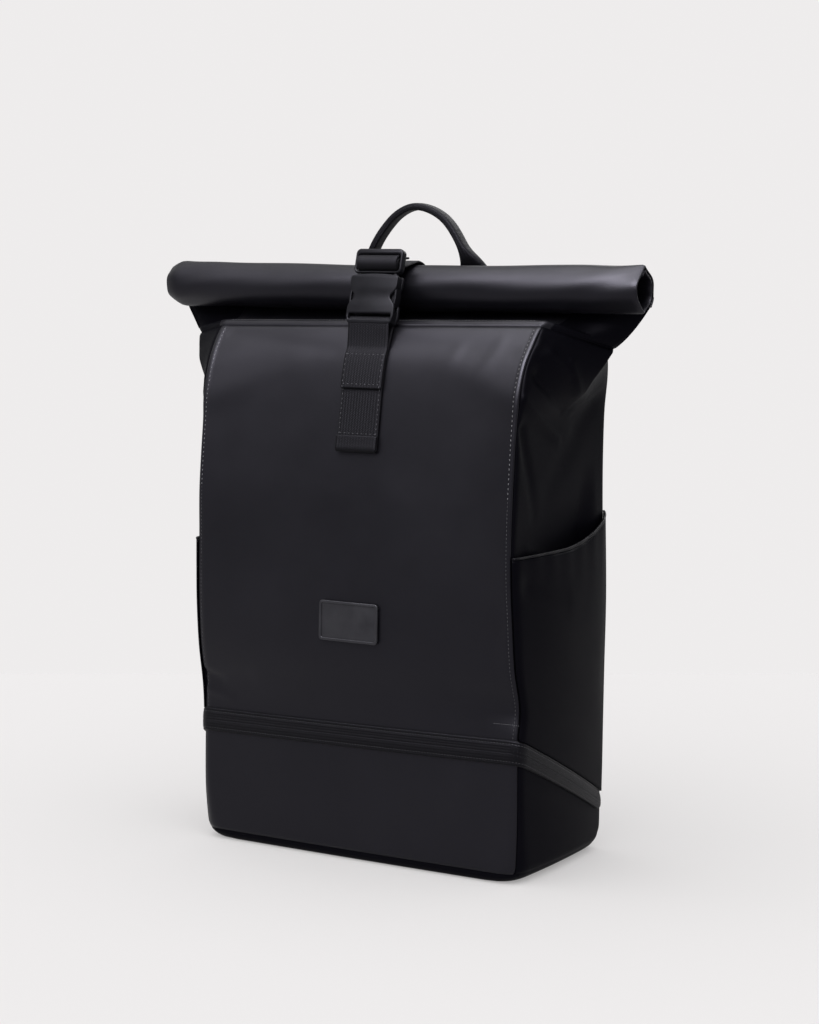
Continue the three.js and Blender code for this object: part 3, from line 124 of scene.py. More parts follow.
LEVELS = {
    "at": (0.0, 0.03, 0.105, 0.218, 0.267, 0.316, 0.39, 0.471, 0.538, 0.6, 0.68, 0.754, 0.828,
           0.891, 0.937, 0.974, 1.0),
    "nose_left": (1.0, 1.0, 1.0, 0.98, 0.97, 0.99, 1.06, 1.09, 1.09, 1.08, 1.07, 1.03, 0.97,
                  0.9, 0.8, 0.66, 0.53),
    "nose_right": (1.03, 1.03, 1.02, 1.02, 1.01, 0.96, 1.08, 1.14, 1.18, 1.19, 1.17, 1.13, 1.08,
                   1.01, 0.89, 0.7, 0.55),
    "spine": (0.97, 0.98, 0.98, 0.98, 0.98, 0.99, 1.0, 1.01, 1.03, 1.01, 1.0, 1.01, 1.03,
              1.06, 1.04, 0.97, 0.89),
    "belly": (0.1, 0.15, 0.2, 0.2, 0.25, 0.6, 0.55, 0.25, -0.05, -0.25, -0.5, -0.7, -0.85,
              -0.85, -0.6, -0.2, 0.1),
    "drop": (0.0, 0.03, 0.42, 0.97, 1.0, 0.985, 0.9, 0.74, 0.39, -0.04, -0.1, -0.1, -0.07,
             -0.03, 0.03, 0.1, 0.145),
    "side": (0.5, 0.8, 1.0, 1.0, 0.9, 0.8, 0.8, 0.9, 0.9, 0.7, 0.4, 0.0, -0.3,
             0.0, 0.0, 0.0, 0.0),
    "rear": (0.0, 0.1, 0.4, 0.7, 0.9, 1.0, 1.0, 1.0, 1.0, 1.0, 1.0, 0.9, 0.8,
             0.6, 0.4, 0.2, 0.0),
    "ear": (0.0, 0.0, 0.0, 0.0, 0.0, 0.0, 0.0, 0.0, 0.0, 0.0, 0.0, 0.0, 0.05,
            0.42, 0.7, 0.88, 1.0),
    "corner": (2.6, 2.0, 1.2, 1.0, 1.0, 1.0, 1.0, 1.0, 1.0, 1.0, 1.0, 1.0, 0.9,
               0.7, 0.6, 0.5, 0.4),
}

# Folds and dents: face, from (across, up) to (across, up), reach in mm, rise in mm.
FOLDS = [
    (1, 0.12, 0.955, 0.62, 0.875, 7.1, 2.4),
    (1, 0.10, 0.925, 0.50, 0.845, 7.1, -2.4),
    (1, 0.06, 0.89, 0.55, 0.80, 9.9, 2.1),
    (1, 0.80, 0.84, 0.35, 0.70, 11.4, -1.8),
    (1, 0.12, 0.545, 0.42, 0.535, 8.5, -2.1),
    (0, 0.00, 0.31, 0.16, 0.33, 8.5, -2.7),
    (0, 1.00, 0.315, 0.82, 0.345, 9.9, -3.0),
    (0, 0.00, 0.86, 0.28, 0.93, 11.4, 1.8),
    (0, 1.00, 0.87, 0.74, 0.94, 11.4, 1.8),
]
TAUT_LEFT = 0.15
print("bag", BODY_WIDTH, "x", BODY_DEPTH, "x", BODY_HEIGHT, "mm,", len(FOLDS), "main folds")


# %% Small helpers for curves and tables
def mix(a, b, t):
    return a + (b - a) * t


def smooth(t):
    t = np.clip(t, 0.0, 1.0)
    return t * t * (3 - 2 * t)


def arch(t):
    return 4 * t * (1 - t)


def tent(t, apex):
    return np.where(t < apex, t / apex, (1 - t) / (1 - apex))


def table_curve(keys, values, x):
    """A smooth curve through the rows of a table."""
    keys = np.asarray(keys, float)
    values = np.asarray(values, float)
    last = len(keys) - 1
    x = np.clip(x, keys[0], keys[-1])
    i = np.clip(np.searchsorted(keys, x, side="left") - 1, 0, last - 1)
    before = np.maximum(i - 1, 0)
    after = np.minimum(i + 2, last)
    span = keys[i + 1] - keys[i]
    t = (x - keys[i]) / span
    m0 = (values[i + 1] - values[before]) / (keys[i + 1] - keys[before]) * span
    m1 = (values[after] - values[i]) / (keys[after] - keys[i]) * span
    t2 = t * t
    t3 = t2 * t
    rise = (3 * t2 - 2 * t3) * values[i + 1] + (t3 - t2) * m1
    return (2 * t3 - 3 * t2 + 1) * values[i] + (t3 - 2 * t2 + t) * m0 + rise


def level(name, h):
    return table_curve(LEVELS["at"], LEVELS[name], h / BODY_HEIGHT)


print("nose at half height:", round(float(level("nose_right", np.array(214.0))), 3))


# %% The skin function
def place_of(u):
    turn = np.mod(u, 4.0)
    face = np.floor(turn).astype(int)
    return face, turn - face


def foot_inset(h, radius):
    climb = np.clip(h / radius, 0, 1)
    return 1 - np.sqrt(1 - (1 - climb) ** 2)


def sharp_skin(u, h):
    """The skin before its upright corners are rounded."""
    u, h = np.broadcast_arrays(np.asarray(u, float), np.asarray(h, float))
    face, along = place_of(u)
    half = BODY_WIDTH / 2 - FOOT_RADIUS_SIDE * foot_inset(h, FOOT_RADIUS_SIDE)
    under = FOOT_RADIUS_FRONT * foot_inset(h, FOOT_RADIUS_FRONT)
    front_left = -BODY_DEPTH / 2 * level("nose_left", h) + under
    front_right = -BODY_DEPTH / 2 * level("nose_right", h) + under
    back = BODY_DEPTH / 2 * level("spine", h) - under
    back_h = h - BACK_DROP * level("drop", h) * smooth(h / BASE_TURN)
    right = face == 1
    s = np.where(right, along, 1 - along)
    fold = np.where(right, EAR_FOLD[1], EAR_FOLD[3])
    dip = np.where(right, EAR_DIP[1], EAR_DIP[3])
    ear = level("ear", h) * tent(s, fold)
    out = half + SIDE_BULGE * level("side", h) * arch(s) + EAR_REACH * ear
    front_y = mix(front_left, front_right, along) - BELLY * level("belly", h) * arch(along)
    back_y = back + BACK_BULGE * level("rear", h) * arch(along)
    x = np.select([face == 0, face == 2], [mix(-half, half, along), mix(half, -half, along)],
                  np.where(right, out, -out))
    y = np.select([face == 0, face == 2], [front_y, back_y],
                  mix(np.where(right, front_right, front_left), back, s))
    z = np.select([face == 0, face == 2], [h, back_h], mix(h, back_h, s) - dip * ear)
    z = z + LEAN * (x / BODY_WIDTH) * smooth(h / ZIP_HEIGHT)
    return np.stack([x, y, z], axis=-1)


def face_length(face):
    return np.where(np.mod(face, 2) == 0, BODY_WIDTH, BODY_DEPTH)


def plain_skin(u, h):
    """The skin with its four upright corners rounded."""
    u, h = np.broadcast_arrays(np.asarray(u, float), np.asarray(h, float))
    corner = np.floor(u + 0.5)
    radius = CORNER_RADIUS * level("corner", h)
    before = radius / face_length(corner - 1)
    after = radius / face_length(corner)
    past = u - corner
    inside = (past >= -before) & (past <= after)
    t = np.where(past < 0, 0.5 + past / before / 2, 0.5 + past / after / 2)[..., None]
    a = sharp_skin(corner - before, h)
    b = sharp_skin(corner, h)
    c = sharp_skin(corner + after, h)
    turned = a * (1 - t) ** 2 + b * 2 * t * (1 - t) + c * t * t
    return np.where(inside[..., None], turned, sharp_skin(u, h))


def unit(v):
    return v / np.maximum(np.linalg.norm(v, axis=-1, keepdims=True), 1e-9)


def skin_normal(u, h):
    step = 1e-3
    low = np.maximum(h, FOOT_RADIUS_SIDE * step)
    across = plain_skin(u + step, low) - plain_skin(u - step, low)
    up = plain_skin(u, low + step * BODY_HEIGHT) - plain_skin(u, low)
    normal = unit(np.cross(across, up))
    normal[..., 2] *= 1 - smooth((h - BODY_HEIGHT + SEAM_MITRE) / SEAM_MITRE)
    return unit(normal)


def fold_rise(u, h, folds=FOLDS):
    face, along = place_of(u)
    side = face == 3
    along = np.where(side, 1 - along, along)
    kind = np.where(face == 2, 9, face % 2)
    length = face_length(face)
    total = np.zeros(np.broadcast(u, h).shape)
    for fold_face, a0, h0, a1, h1, reach, rise in folds:
        start = np.stack([a0 * length, np.full_like(length, h0 * BODY_HEIGHT)], -1)
        line = np.stack([a1 * length, np.full_like(length, h1 * BODY_HEIGHT)], -1) - start
        here = np.stack([along * length, h + 0 * along], -1)
        t = np.clip(np.sum((here - start) * line, -1) / np.sum(line * line, -1), 0, 1)
        gap = np.linalg.norm(here - start - line * t[..., None], axis=-1)
        wave = rise * np.exp(-((gap / reach) ** 2)) * (1 - FOLD_FADE * t)
        total += np.where(kind == fold_face, wave, 0)
    return total * np.where(face == 3, TAUT_LEFT, 1.0)


def skin(u, h, offset=0.0):
    """A point of the folded skin, moved outwards by an offset in millimetres."""
    u, h = np.broadcast_arrays(np.asarray(u, float), np.asarray(h, float))
    rise = (fold_rise(u, h) + offset)[..., None]
    return plain_skin(u, h) + skin_normal(u, h) * rise


print("front middle of the skin:", skin(0.5, 250.0).round(1))

# %% [markdown]
# ## From grids to cloth
#
# A panel of cloth is two matching grids, its outer and its inner face, closed along the edges. A
# UV map in metres goes with it, so that a weave follows the cloth round corners and folds.


# %% Build meshes from grids
def finished_object(name, verts, faces, uvs=None, smooth_faces=True):
    """Links a mesh given in millimetres; uvs holds one pair of metres for each vertex."""
    mesh = bpy.data.meshes.new(name)
    mesh.from_pydata((np.asarray(verts, float) * MM).tolist(), [], [list(f) for f in faces])
    if uvs is not None:
        layer = mesh.uv_layers.new(name="cloth")
        loops = np.zeros(len(mesh.loops), dtype=np.int32)
        mesh.loops.foreach_get("vertex_index", loops)
        layer.data.foreach_set("uv", np.asarray(uvs, np.float32)[loops].ravel())
    mesh.polygons.foreach_set("use_smooth", [smooth_faces] * len(mesh.polygons))
    bm = bmesh.new()
    bm.from_mesh(mesh)
    bmesh.ops.recalc_face_normals(bm, faces=bm.faces)
    bm.to_mesh(mesh)
    bm.free()
    mesh.update()
    return linked(name, mesh)


def grid_faces(rows, columns, start=0, close_columns=False):
    faces = []
    wrap = columns if close_columns else columns - 1
    for r in range(rows - 1):
        for c in range(wrap):
            a = start + r * columns + c
            b = start + r * columns + (c + 1) % columns
            faces.append((a, b, b + columns, a + columns))
    return faces


def cloth_piece(name, outer, inner, uv):
    """Closes two grids of points, shaped rows by columns by three, into one sheet of cloth."""
    rows, columns = outer.shape[:2]
    half = rows * columns
    faces = grid_faces(rows, columns)
    faces += [tuple(half + i for i in reversed(f)) for f in grid_faces(rows, columns)]
    border = [(0, c) for c in range(columns)] + [(r, columns - 1) for r in range(1, rows)]
    border += [(rows - 1, c) for c in range(columns - 2, -1, -1)] + [(r, 0) for r in range(rows - 2, 0, -1)]
    ring = [r * columns + c for r, c in border]
    for i, a in enumerate(ring):
        b = ring[(i + 1) % len(ring)]
        faces.append((b, a, half + a, half + b))
    verts = np.concatenate([outer.reshape(-1, 3), inner.reshape(-1, 3)])
    return finished_object(name, verts, faces, np.concatenate([uv.reshape(-1, 2)] * 2))


def rings_piece(name, rings, uv=None):
    """Joins a row of closed rings into one tube, closed at both ends by a fan."""
    rings = np.asarray(rings, float)
    count, size = rings.shape[:2]
    faces = grid_faces(count, size, close_columns=True)
    verts = np.concatenate([rings.reshape(-1, 3), rings[:1].mean(1), rings[-1:].mean(1)])
    first, last, end = count * size, count * size + 1, (count - 1) * size
    for i in range(size):
        faces.append((first, (i + 1) % size, i))
        faces.append((last, end + i, end + (i + 1) % size))
    if uv is not None:
        uv = np.concatenate([np.asarray(uv, float).reshape(-1, 2), [[0, 0], [0, 0]]])
    return finished_object(name, verts, faces, uv)


def dress(piece, finish, node):
    """Gives a piece its finish, hides the CAD node it stands for, and hangs it under the root."""
    piece.data.materials.append(finish)
    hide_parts(node)
    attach(piece, "root")
    print(piece.name, len(piece.data.polygons), "faces")
    return piece


# %% [markdown]
# ## Finishes
#
# Everything on this bag is black, so the materials have to differ in texture and in sheen. Coated
# cloth is smooth and throws a soft highlight. The side cloth is a plain weave and duller. Webbing
# has ribs. Each finish is made of nodes: fine bumps at the real scale, slow changes in tone, and on
# moulded pieces a little wear. The cloth and webbing patterns read the UV map, in metres, so that they
# follow the surface; moulded pieces read Object coordinates. The gloss of cloth is kept low and a
# little blue, because black nylon in a bright room would otherwise look grey.


# %% A small node helper
def new_finish(name):
    material = bpy.data.materials.new(name)
    material.use_nodes = True
    tree = material.node_tree
    shader = tree.nodes["Principled BSDF"]
    return material, tree, shader


def node(tree, kind, settings=None, **inputs):
    made = tree.nodes.new(kind)
    for key, value in (settings or {}).items():
        setattr(made, key, value)
    for key, value in inputs.items():
        socket = made.inputs[int(key[1:])] if key[0] == "i" and key[1:].isdigit() else made.inputs[key]
        if isinstance(value, bpy.types.NodeSocket):
            tree.links.new(value, socket)
        else:
            socket.default_value = value
    return made


def blend_colours(tree, factor, dark, light):
    made = node(tree, "ShaderNodeMix", {"data_type": "RGBA"})
    tree.links.new(factor, made.inputs[0])
    made.inputs[6].default_value = (*dark, 1)
    made.inputs[7].default_value = (*light, 1)
    return made.outputs[2]


def spread(tree, value, low, high, from_low=0.3, from_high=0.7):
    made = node(tree, "ShaderNodeMapRange", None, i0=value, i1=from_low, i2=from_high, i3=low, i4=high)
    return made.outputs[0]


def maths(tree, operation, *values):
    """The output of one Math node; each value is a number or a socket."""
    inputs = {f"i{index}": value for index, value in enumerate(values)}
    return node(tree, "ShaderNodeMath", {"operation": operation}, **inputs).outputs[0]


def weave_height(tree, place, threads):
    """Crossing threads, that many to a metre: two sine waves whose peaks go over and under."""
    split = node(tree, "ShaderNodeSeparateXYZ", None, i0=place)
    waves = [maths(tree, "SINE", maths(tree, "MULTIPLY", split.outputs[axis], threads * 2 * math.pi))
             for axis in (0, 1)]
    return maths(tree, "MULTIPLY_ADD", maths(tree, "MULTIPLY", *waves), 0.5, 0.5)


def cloth_finish(name, dark, light, threads, rough, weave_bump, grain_bump, sheen, specular):
    material, tree, shader = new_finish(name)
    place = node(tree, "ShaderNodeUVMap", {"uv_map": "cloth"}).outputs[0]
    body = node(tree, "ShaderNodeTexCoord").outputs["Object"]
    slow = node(tree, "ShaderNodeTexNoise", None, Vector=body, Scale=9.0, Detail=4.0, Roughness=0.55)
    fine = node(tree, "ShaderNodeTexNoise", None, Vector=place, Scale=900.0, Detail=3.0, Roughness=0.6)
    weave = weave_height(tree, place, threads)
    tone = maths(tree, "MULTIPLY_ADD", weave, 0.25, spread(tree, slow.outputs[0], 0.0, 0.75))
    tree.links.new(blend_colours(tree, tone, dark, light), shader.inputs["Base Color"])
    tree.links.new(spread(tree, slow.outputs[0], rough - 0.05, rough + 0.06), shader.inputs["Roughness"])
    low = node(tree, "ShaderNodeBump", None, Strength=grain_bump, Distance=0.0003, Height=fine.outputs[0])
    high = node(tree, "ShaderNodeBump", None, Strength=weave_bump, Distance=0.0002, Height=weave,
                Normal=low.outputs[0])
    tree.links.new(high.outputs[0], shader.inputs["Normal"])
    shader.inputs["Specular Tint"].default_value = (0.86, 0.83, 1.0, 1)
    shader.inputs["Sheen Weight"].default_value = sheen
    shader.inputs["Sheen Roughness"].default_value = 0.4
    shader.inputs["Specular IOR Level"].default_value = specular
    return material


def webbing_finish(name, dark, light, rib, rough):
    """Woven tape: ribs across it every `rib` metres, and a fine chevron between them."""
    material, tree, shader = new_finish(name)
    place = node(tree, "ShaderNodeUVMap", {"uv_map": "cloth"}).outputs[0]
    split = node(tree, "ShaderNodeSeparateXYZ", None, i0=place)
    turn = 2 * math.pi / rib
    along = maths(tree, "MULTIPLY", split.outputs[1], turn)
    zig = maths(tree, "PINGPONG", split.outputs[0], rib)
    skew = maths(tree, "MULTIPLY_ADD", zig, turn, along)
    rise = maths(tree, "MULTIPLY_ADD", maths(tree, "SINE", skew), 0.5, 0.5)
    fine = node(tree, "ShaderNodeTexNoise", None, Vector=place, Scale=1500.0, Detail=2.0)
    tone = maths(tree, "MULTIPLY_ADD", fine.outputs[0], 0.5, rise)
    tone = spread(tree, tone, 0.0, 1.0, 0.1, 1.3)
    tree.links.new(blend_colours(tree, tone, dark, light), shader.inputs["Base Color"])
    low = node(tree, "ShaderNodeBump", None, Strength=0.3, Distance=0.0002, Height=fine.outputs[0])
    high = node(tree, "ShaderNodeBump", None, Strength=0.5, Distance=0.0003, Height=rise,
                Normal=low.outputs[0])
    tree.links.new(high.outputs[0], shader.inputs["Normal"])
    tree.links.new(spread(tree, fine.outputs[0], rough - 0.06, rough + 0.06), shader.inputs["Roughness"])
    shader.inputs["Specular Tint"].default_value = (0.86, 0.83, 1.0, 1)
    shader.inputs["Sheen Weight"].default_value = 0.02
    shader.inputs["Sheen Roughness"].default_value = 0.5
    shader.inputs["Specular IOR Level"].default_value = 0.09
    return material


def moulded_finish(name, dark, light, rough, grain, grain_size, specular=0.5, metallic=0.0):
    """Moulded plastic, rubber or paint: spark grain from the mould and edges worn a little lighter."""
    material, tree, shader = new_finish(name)
    body = node(tree, "ShaderNodeTexCoord").outputs["Object"]
    spark = node(tree, "ShaderNodeTexNoise", None, Vector=body, Scale=grain_size, Detail=2.0)
    slow = node(tree, "ShaderNodeTexNoise", None, Vector=body, Scale=60.0, Detail=3.0)
    edge = node(tree, "ShaderNodeNewGeometry").outputs["Pointiness"]
    worn = spread(tree, edge, 0.0, 1.0, 0.5, 0.62)
    tone = maths(tree, "MULTIPLY_ADD", worn, 0.5, spread(tree, slow.outputs[0], 0.0, 0.5))
    tree.links.new(blend_colours(tree, tone, dark, light), shader.inputs["Base Color"])
    tree.links.new(spread(tree, slow.outputs[0], rough - 0.05, rough + 0.07), shader.inputs["Roughness"])
    bump = node(tree, "ShaderNodeBump", None, Strength=grain, Distance=0.0001, Height=spark.outputs[0])
    tree.links.new(bump.outputs[0], shader.inputs["Normal"])
    shader.inputs["Specular IOR Level"].default_value = specular
    shader.inputs["Metallic"].default_value = metallic
    shader.inputs["Specular Tint"].default_value = (0.88, 0.86, 1.0, 1)
    return material


# %% Mix the finishes
coated_cloth = cloth_finish("coated_cloth", (0.0028, 0.0027, 0.0039), (0.0044, 0.0042, 0.0060),
                            2200, 0.38, 0.10, 0.12, 0.0, 0.20)
side_cloth = cloth_finish("side_cloth", (0.0014, 0.0013, 0.0025), (0.0027, 0.0025, 0.0042),
                          1500, 0.48, 0.22, 0.15, 0.0, 0.025)
padded_cloth = cloth_finish("padded_cloth", (0.0050, 0.0049, 0.0058), (0.0085, 0.0084, 0.0096),
                            700, 0.70, 0.7, 0.3, 0.06, 0.16)
bag_webbing = webbing_finish("bag_webbing", (0.0016, 0.0016, 0.0022), (0.0029, 0.0028, 0.0037),
                             0.0013, 0.55)
zip_tape = webbing_finish("zip_tape", (0.0014, 0.0013, 0.0020), (0.0030, 0.0029, 0.0038), 0.0010, 0.42)
buckle_plastic = moulded_finish("buckle_plastic", (0.0045, 0.0045, 0.0058), (0.0078, 0.0078, 0.0096),
                                0.42, 0.25, 4000.0, 0.10)
patch_rubber = moulded_finish("patch_rubber", (0.0130, 0.0129, 0.0150), (0.0300, 0.0297, 0.0330),
                              0.45, 0.5, 2500.0, 0.25)
coil_nylon = moulded_finish("coil_nylon", (0.0045, 0.0045, 0.0054), (0.0095, 0.0094, 0.0110),
                            0.4, 0.2, 3000.0, 0.2)
slider_paint = moulded_finish("slider_paint", (0.010, 0.010, 0.011), (0.030, 0.030, 0.031),
                              0.32, 0.15, 3000.0, 0.5, 0.6)
grey_thread = moulded_finish("grey_thread", (0.14, 0.14, 0.148), (0.25, 0.25, 0.258),
                             0.6, 0.5, 6000.0, 0.3)
dark_thread = moulded_finish("dark_thread", (0.050, 0.050, 0.054), (0.095, 0.095, 0.100),
                             0.6, 0.5, 6000.0, 0.3)
print(len(bpy.data.materials), "materials")

# %% [markdown]
# ## The panels
#
# Each panel is a patch of the skin between two seams. Near a seam the cloth turns inwards, so a
# narrow dark groove shows between neighbours, as it does where two layers are sewn together. The
# front and the side also carry soft, shallow waves that the light solid leaves out.


# %% Shape of the cloth near seams, and its soft waves
SEAM_SINK = 0.8
SEAM_REACH = 1.1
SOFT_WAVES = [
    (0, 0.05, 0.985, 0.40, 0.955, 5.0, -0.7),
    (0, 0.55, 0.975, 0.95, 0.955, 5.0, -0.8),
    (0, 0.00, 0.86, 0.28, 0.93, 11.4, -1.0),
    (0, 1.00, 0.87, 0.74, 0.94, 11.4, -1.0),
    (0, 0.78, 0.96, 0.74, 0.90, 6.0, 0.3),
    (0, 0.90, 0.97, 0.86, 0.90, 6.0, 0.3),
    (0, 0.97, 0.50, 0.93, 0.40, 7.0, -0.8),
    (0, 1.00, 0.315, 0.82, 0.345, 9.9, 2.0),
    (0, 0.00, 0.31, 0.16, 0.33, 8.5, 1.0),
    (0, 0.00, 0.335, 0.07, 0.32, 3.0, -1.6),
    (0, 0.02, 0.30, 0.10, 0.285, 3.5, 1.2),
    (1, 0.03, 0.97, 0.30, 0.93, 4.0, 1.6),
    (1, 0.28, 0.955, 0.47, 0.885, 2.8, 2.4),
    (1, 0.10, 0.915, 0.44, 0.845, 3.6, -2.6),
    (1, 0.02, 0.875, 0.46, 0.785, 3.4, 2.2),
    (1, 0.55, 0.84, 0.90, 0.88, 5.0, 1.0),
    (1, 0.05, 0.82, 0.22, 0.66, 5.0, -1.8),
    (1, 0.16, 0.60, 0.44, 0.575, 5.0, 1.2),
]


def seam_sink(distance):
    return -SEAM_SINK * np.exp(-((distance / SEAM_REACH) ** 2))


def edge_columns(face, count):
    """Shares across a face, fine beside both corners."""
    length = float(face_length(np.array(face)))
    edge = SEAM_GAP / 2 / length
    zone = 10.0 / length
    near = np.array([0.0, 0.5, 1.0, 1.5, 2.2, 3.0, 4.0, 5.2, 6.6, 8.2]) / length + edge
    return np.concatenate([face + near, face + np.linspace(zone, 1 - zone, count), face + 1 - near[::-1]])


def panel_grids(columns, rows, offset_at, thickness_at):
    u, h = np.meshgrid(columns, rows)
    outer_offset = offset_at(u, h)
    rise = outer_offset + fold_rise(u, h, SOFT_WAVES)
    outer = skin(u, h, rise)
    inner = skin(u, h, outer_offset - thickness_at(u, h))
    lengths = np.where(np.floor(columns) % 2 == 0, BODY_WIDTH, BODY_DEPTH)
    run = np.cumsum(np.concatenate([[0], np.diff(columns) * lengths[1:]]))
    uv = np.stack(np.meshgrid(run * MM, np.asarray(rows) * MM), -1)
    return outer, inner, uv


def to_seams(u, h, low, high):
    """Distance in millimetres to the nearest edge of a panel."""
    face, along = place_of(np.where(u > 3.9999, 3.9999, u))
    across = np.minimum(along, 1 - along) * face_length(face)
    return np.minimum(across, np.minimum(h - low, high - h))


def plain_rows(low, high, spacing):
    return np.linspace(low, high, max(4, int((high - low) / spacing)))


print(len(SOFT_WAVES), "soft waves")


# %% Front panel
TOP_EDGE = BODY_HEIGHT - SEAM_GAP / 2
MAIN_FOOT = SEAM_HEIGHT + SEAM_GAP / 2
TOPSTITCH_INSET = 5.5


def front_offset(u, h):
    """A flat felled seam down each side: the cloth lies double between the edge and the stitches."""
    _, along = place_of(np.clip(u, 0, 0.99999))
    side = np.minimum(along, 1 - along) * BODY_WIDTH
    doubled = 0.45 * (1 - smooth((side - TOPSTITCH_INSET) / 1.2)) * (1 - smooth((300 - h) / 30))
    pucker = -0.28 * np.exp(-(((side - TOPSTITCH_INSET) / 0.8) ** 2))
    return seam_sink(to_seams(u, h, MAIN_FOOT, TOP_EDGE)) + doubled + pucker


front_cloth = cloth_piece("front_cloth", *panel_grids(
    edge_columns(0, 90), plain_rows(MAIN_FOOT, TOP_EDGE, 2.6), front_offset, lambda u, h: CLOTH))
dress(front_cloth, coated_cloth, "front_panel")

# %% [markdown]
# ## Sides and their pockets
#
# The side cloth is tucked in behind its pocket, so that the pocket can open. The pocket's mouth is
# bound with a narrow tape. The gusset's creases come from the folded ear at
# the top; they are short ridges and hollows on the same skin.

# %% Side cloth
POCKET_HEIGHT = 255.0
POCKET_CLOTH = 1.4
POCKET_BINDING_HEIGHT = 1.7
POCKET_RISE = 15.0
POCKET_LEVEL = 0.4
POCKET_BULGE = 5.0
POCKET_TUCK = 7.0
POCKET_TUCK_FADE = 58.0
POCKET_TUCK_END = 0.72
POCKET_FLOOR = ZIP_HEIGHT + ZIP_WIDTH + SEAM_GAP
POCKET_ACROSS = (0.0, 0.12, 0.35, 0.6, 0.85, 1.0)
POCKET_OUT = (0.0, 0.35, 0.85, 1.0, 0.9, 0.0)


def along_side(u):
    face, along = place_of(u)
    return np.where(face == 3, 1 - along, along)


def pocket_mouth(u):
    behind = np.clip((along_side(u) - POCKET_LEVEL) / (1 - POCKET_LEVEL), 0, 1)
    return POCKET_HEIGHT + POCKET_RISE * behind ** 2


def pocket_open(u, h):
    climb = np.clip((h - POCKET_FLOOR) / (pocket_mouth(u) - POCKET_FLOOR), 0, 1)
    return table_curve(POCKET_ACROSS, POCKET_OUT, along_side(u)) * smooth(climb)


def side_offset(u, h):
    above = (h - pocket_mouth(u)) / POCKET_TUCK_FADE
    closed_behind = 1 - smooth((along_side(u) - POCKET_TUCK_END) / 0.16)
    tuck = -POCKET_TUCK * pocket_open(u, h) * (1 - smooth(above)) * closed_behind
    return tuck + seam_sink(to_seams(u, h, MAIN_FOOT, TOP_EDGE))


def side_columns(face, count):
    """Columns of a side, with a fine band round the gusset's fold."""
    fold = face + (EAR_FOLD[1] if face == 1 else 1 - EAR_FOLD[3])
    around = fold + np.array([-3.0, -1.5, 0.0, 1.5, 3.0]) / BODY_DEPTH
    base = edge_columns(face, count)
    keep = base[(np.abs(base - fold) > 3.6 / BODY_DEPTH)]
    return np.sort(np.concatenate([keep, around]))


for side_name, face in (("left", 3), ("right", 1)):
    made = cloth_piece(f"side_cloth_{side_name}", *panel_grids(
        side_columns(face, 52), plain_rows(MAIN_FOOT, TOP_EDGE, 2.4), side_offset, lambda u, h: CLOTH))
    dress(made, side_cloth, f"side_panel_{side_name}")


# %% Side pockets with their bound mouths
def pocket_grids(face, share_low, share_high, count, thickness, extra):
    columns = side_columns(face, 46)
    shares = np.linspace(share_low, share_high, count)
    u, share = np.meshgrid(columns, shares)
    h = mix(POCKET_FLOOR, pocket_mouth(u), share)
    swell = POCKET_BULGE * pocket_open(u, h) + SEAM_GAP
    gather = 0.35 * np.sin(along_side(u) * 2 * math.pi * 7) * smooth((share - 0.8) / 0.2)
    outer = skin(u, h, swell + thickness + extra(share) + gather * 0.6)
    inner = skin(u, h, swell)
    uv = np.stack([(u - face) * BODY_DEPTH * MM, h * MM], -1)
    return outer, inner, uv


BINDING_FOOT = 1 - POCKET_BINDING_HEIGHT / (POCKET_HEIGHT - POCKET_FLOOR)
for side_name, face in (("left", 3), ("right", 1)):
    pocket = cloth_piece(f"pocket_cloth_{side_name}", *pocket_grids(
        face, 0, BINDING_FOOT, 60, POCKET_CLOTH, lambda s: 0 * s))
    binding = cloth_piece(f"pocket_binding_{side_name}", *pocket_grids(
        face, BINDING_FOOT + 0.002, 1, 14, POCKET_CLOTH,
        lambda s: 0.40 * np.sqrt(np.clip(arch((s - BINDING_FOOT) / (1 - BINDING_FOOT)), 0, 1))))
    dress(pocket, side_cloth, f"side_pocket_{side_name}")
    dress(binding, zip_tape, f"side_pocket_{side_name}")

# %% [markdown]
# ## The bottom compartment, the base and the back
#
# Under the zip a separate compartment is sewn from a front strip and two side strips, and the base
# turns up round the foot to meet them. The back panel is padded: foam between two layers of cloth.
# Padding is blown up with Blender's cloth simulation, whose pressure pushes the cover out while
# its sewn edge is pinned, which gives the pillow shape that is hard to model by hand.

# %% Lower strips and base
LOWER_FOOT = BASE_TURN - 0.6
LOWER_TOP = SEAM_HEIGHT - SEAM_GAP / 2


def lower_offset(u, h):
    return seam_sink(to_seams(u, h, LOWER_FOOT - 3, LOWER_TOP))


for strip, face, count in (("front", 0, 80), ("side_left", 3, 36), ("side_right", 1, 36)):
    made = cloth_piece(f"lower_cloth_{strip}", *panel_grids(
        edge_columns(face, count), plain_rows(LOWER_FOOT, LOWER_TOP, 2.4), lower_offset, lambda u, h: CLOTH))
    finish, slot = (coated_cloth, "coated_cloth") if face == 0 else (side_cloth, "side_cloth")
    dress(made, finish, f"lower_{strip}")

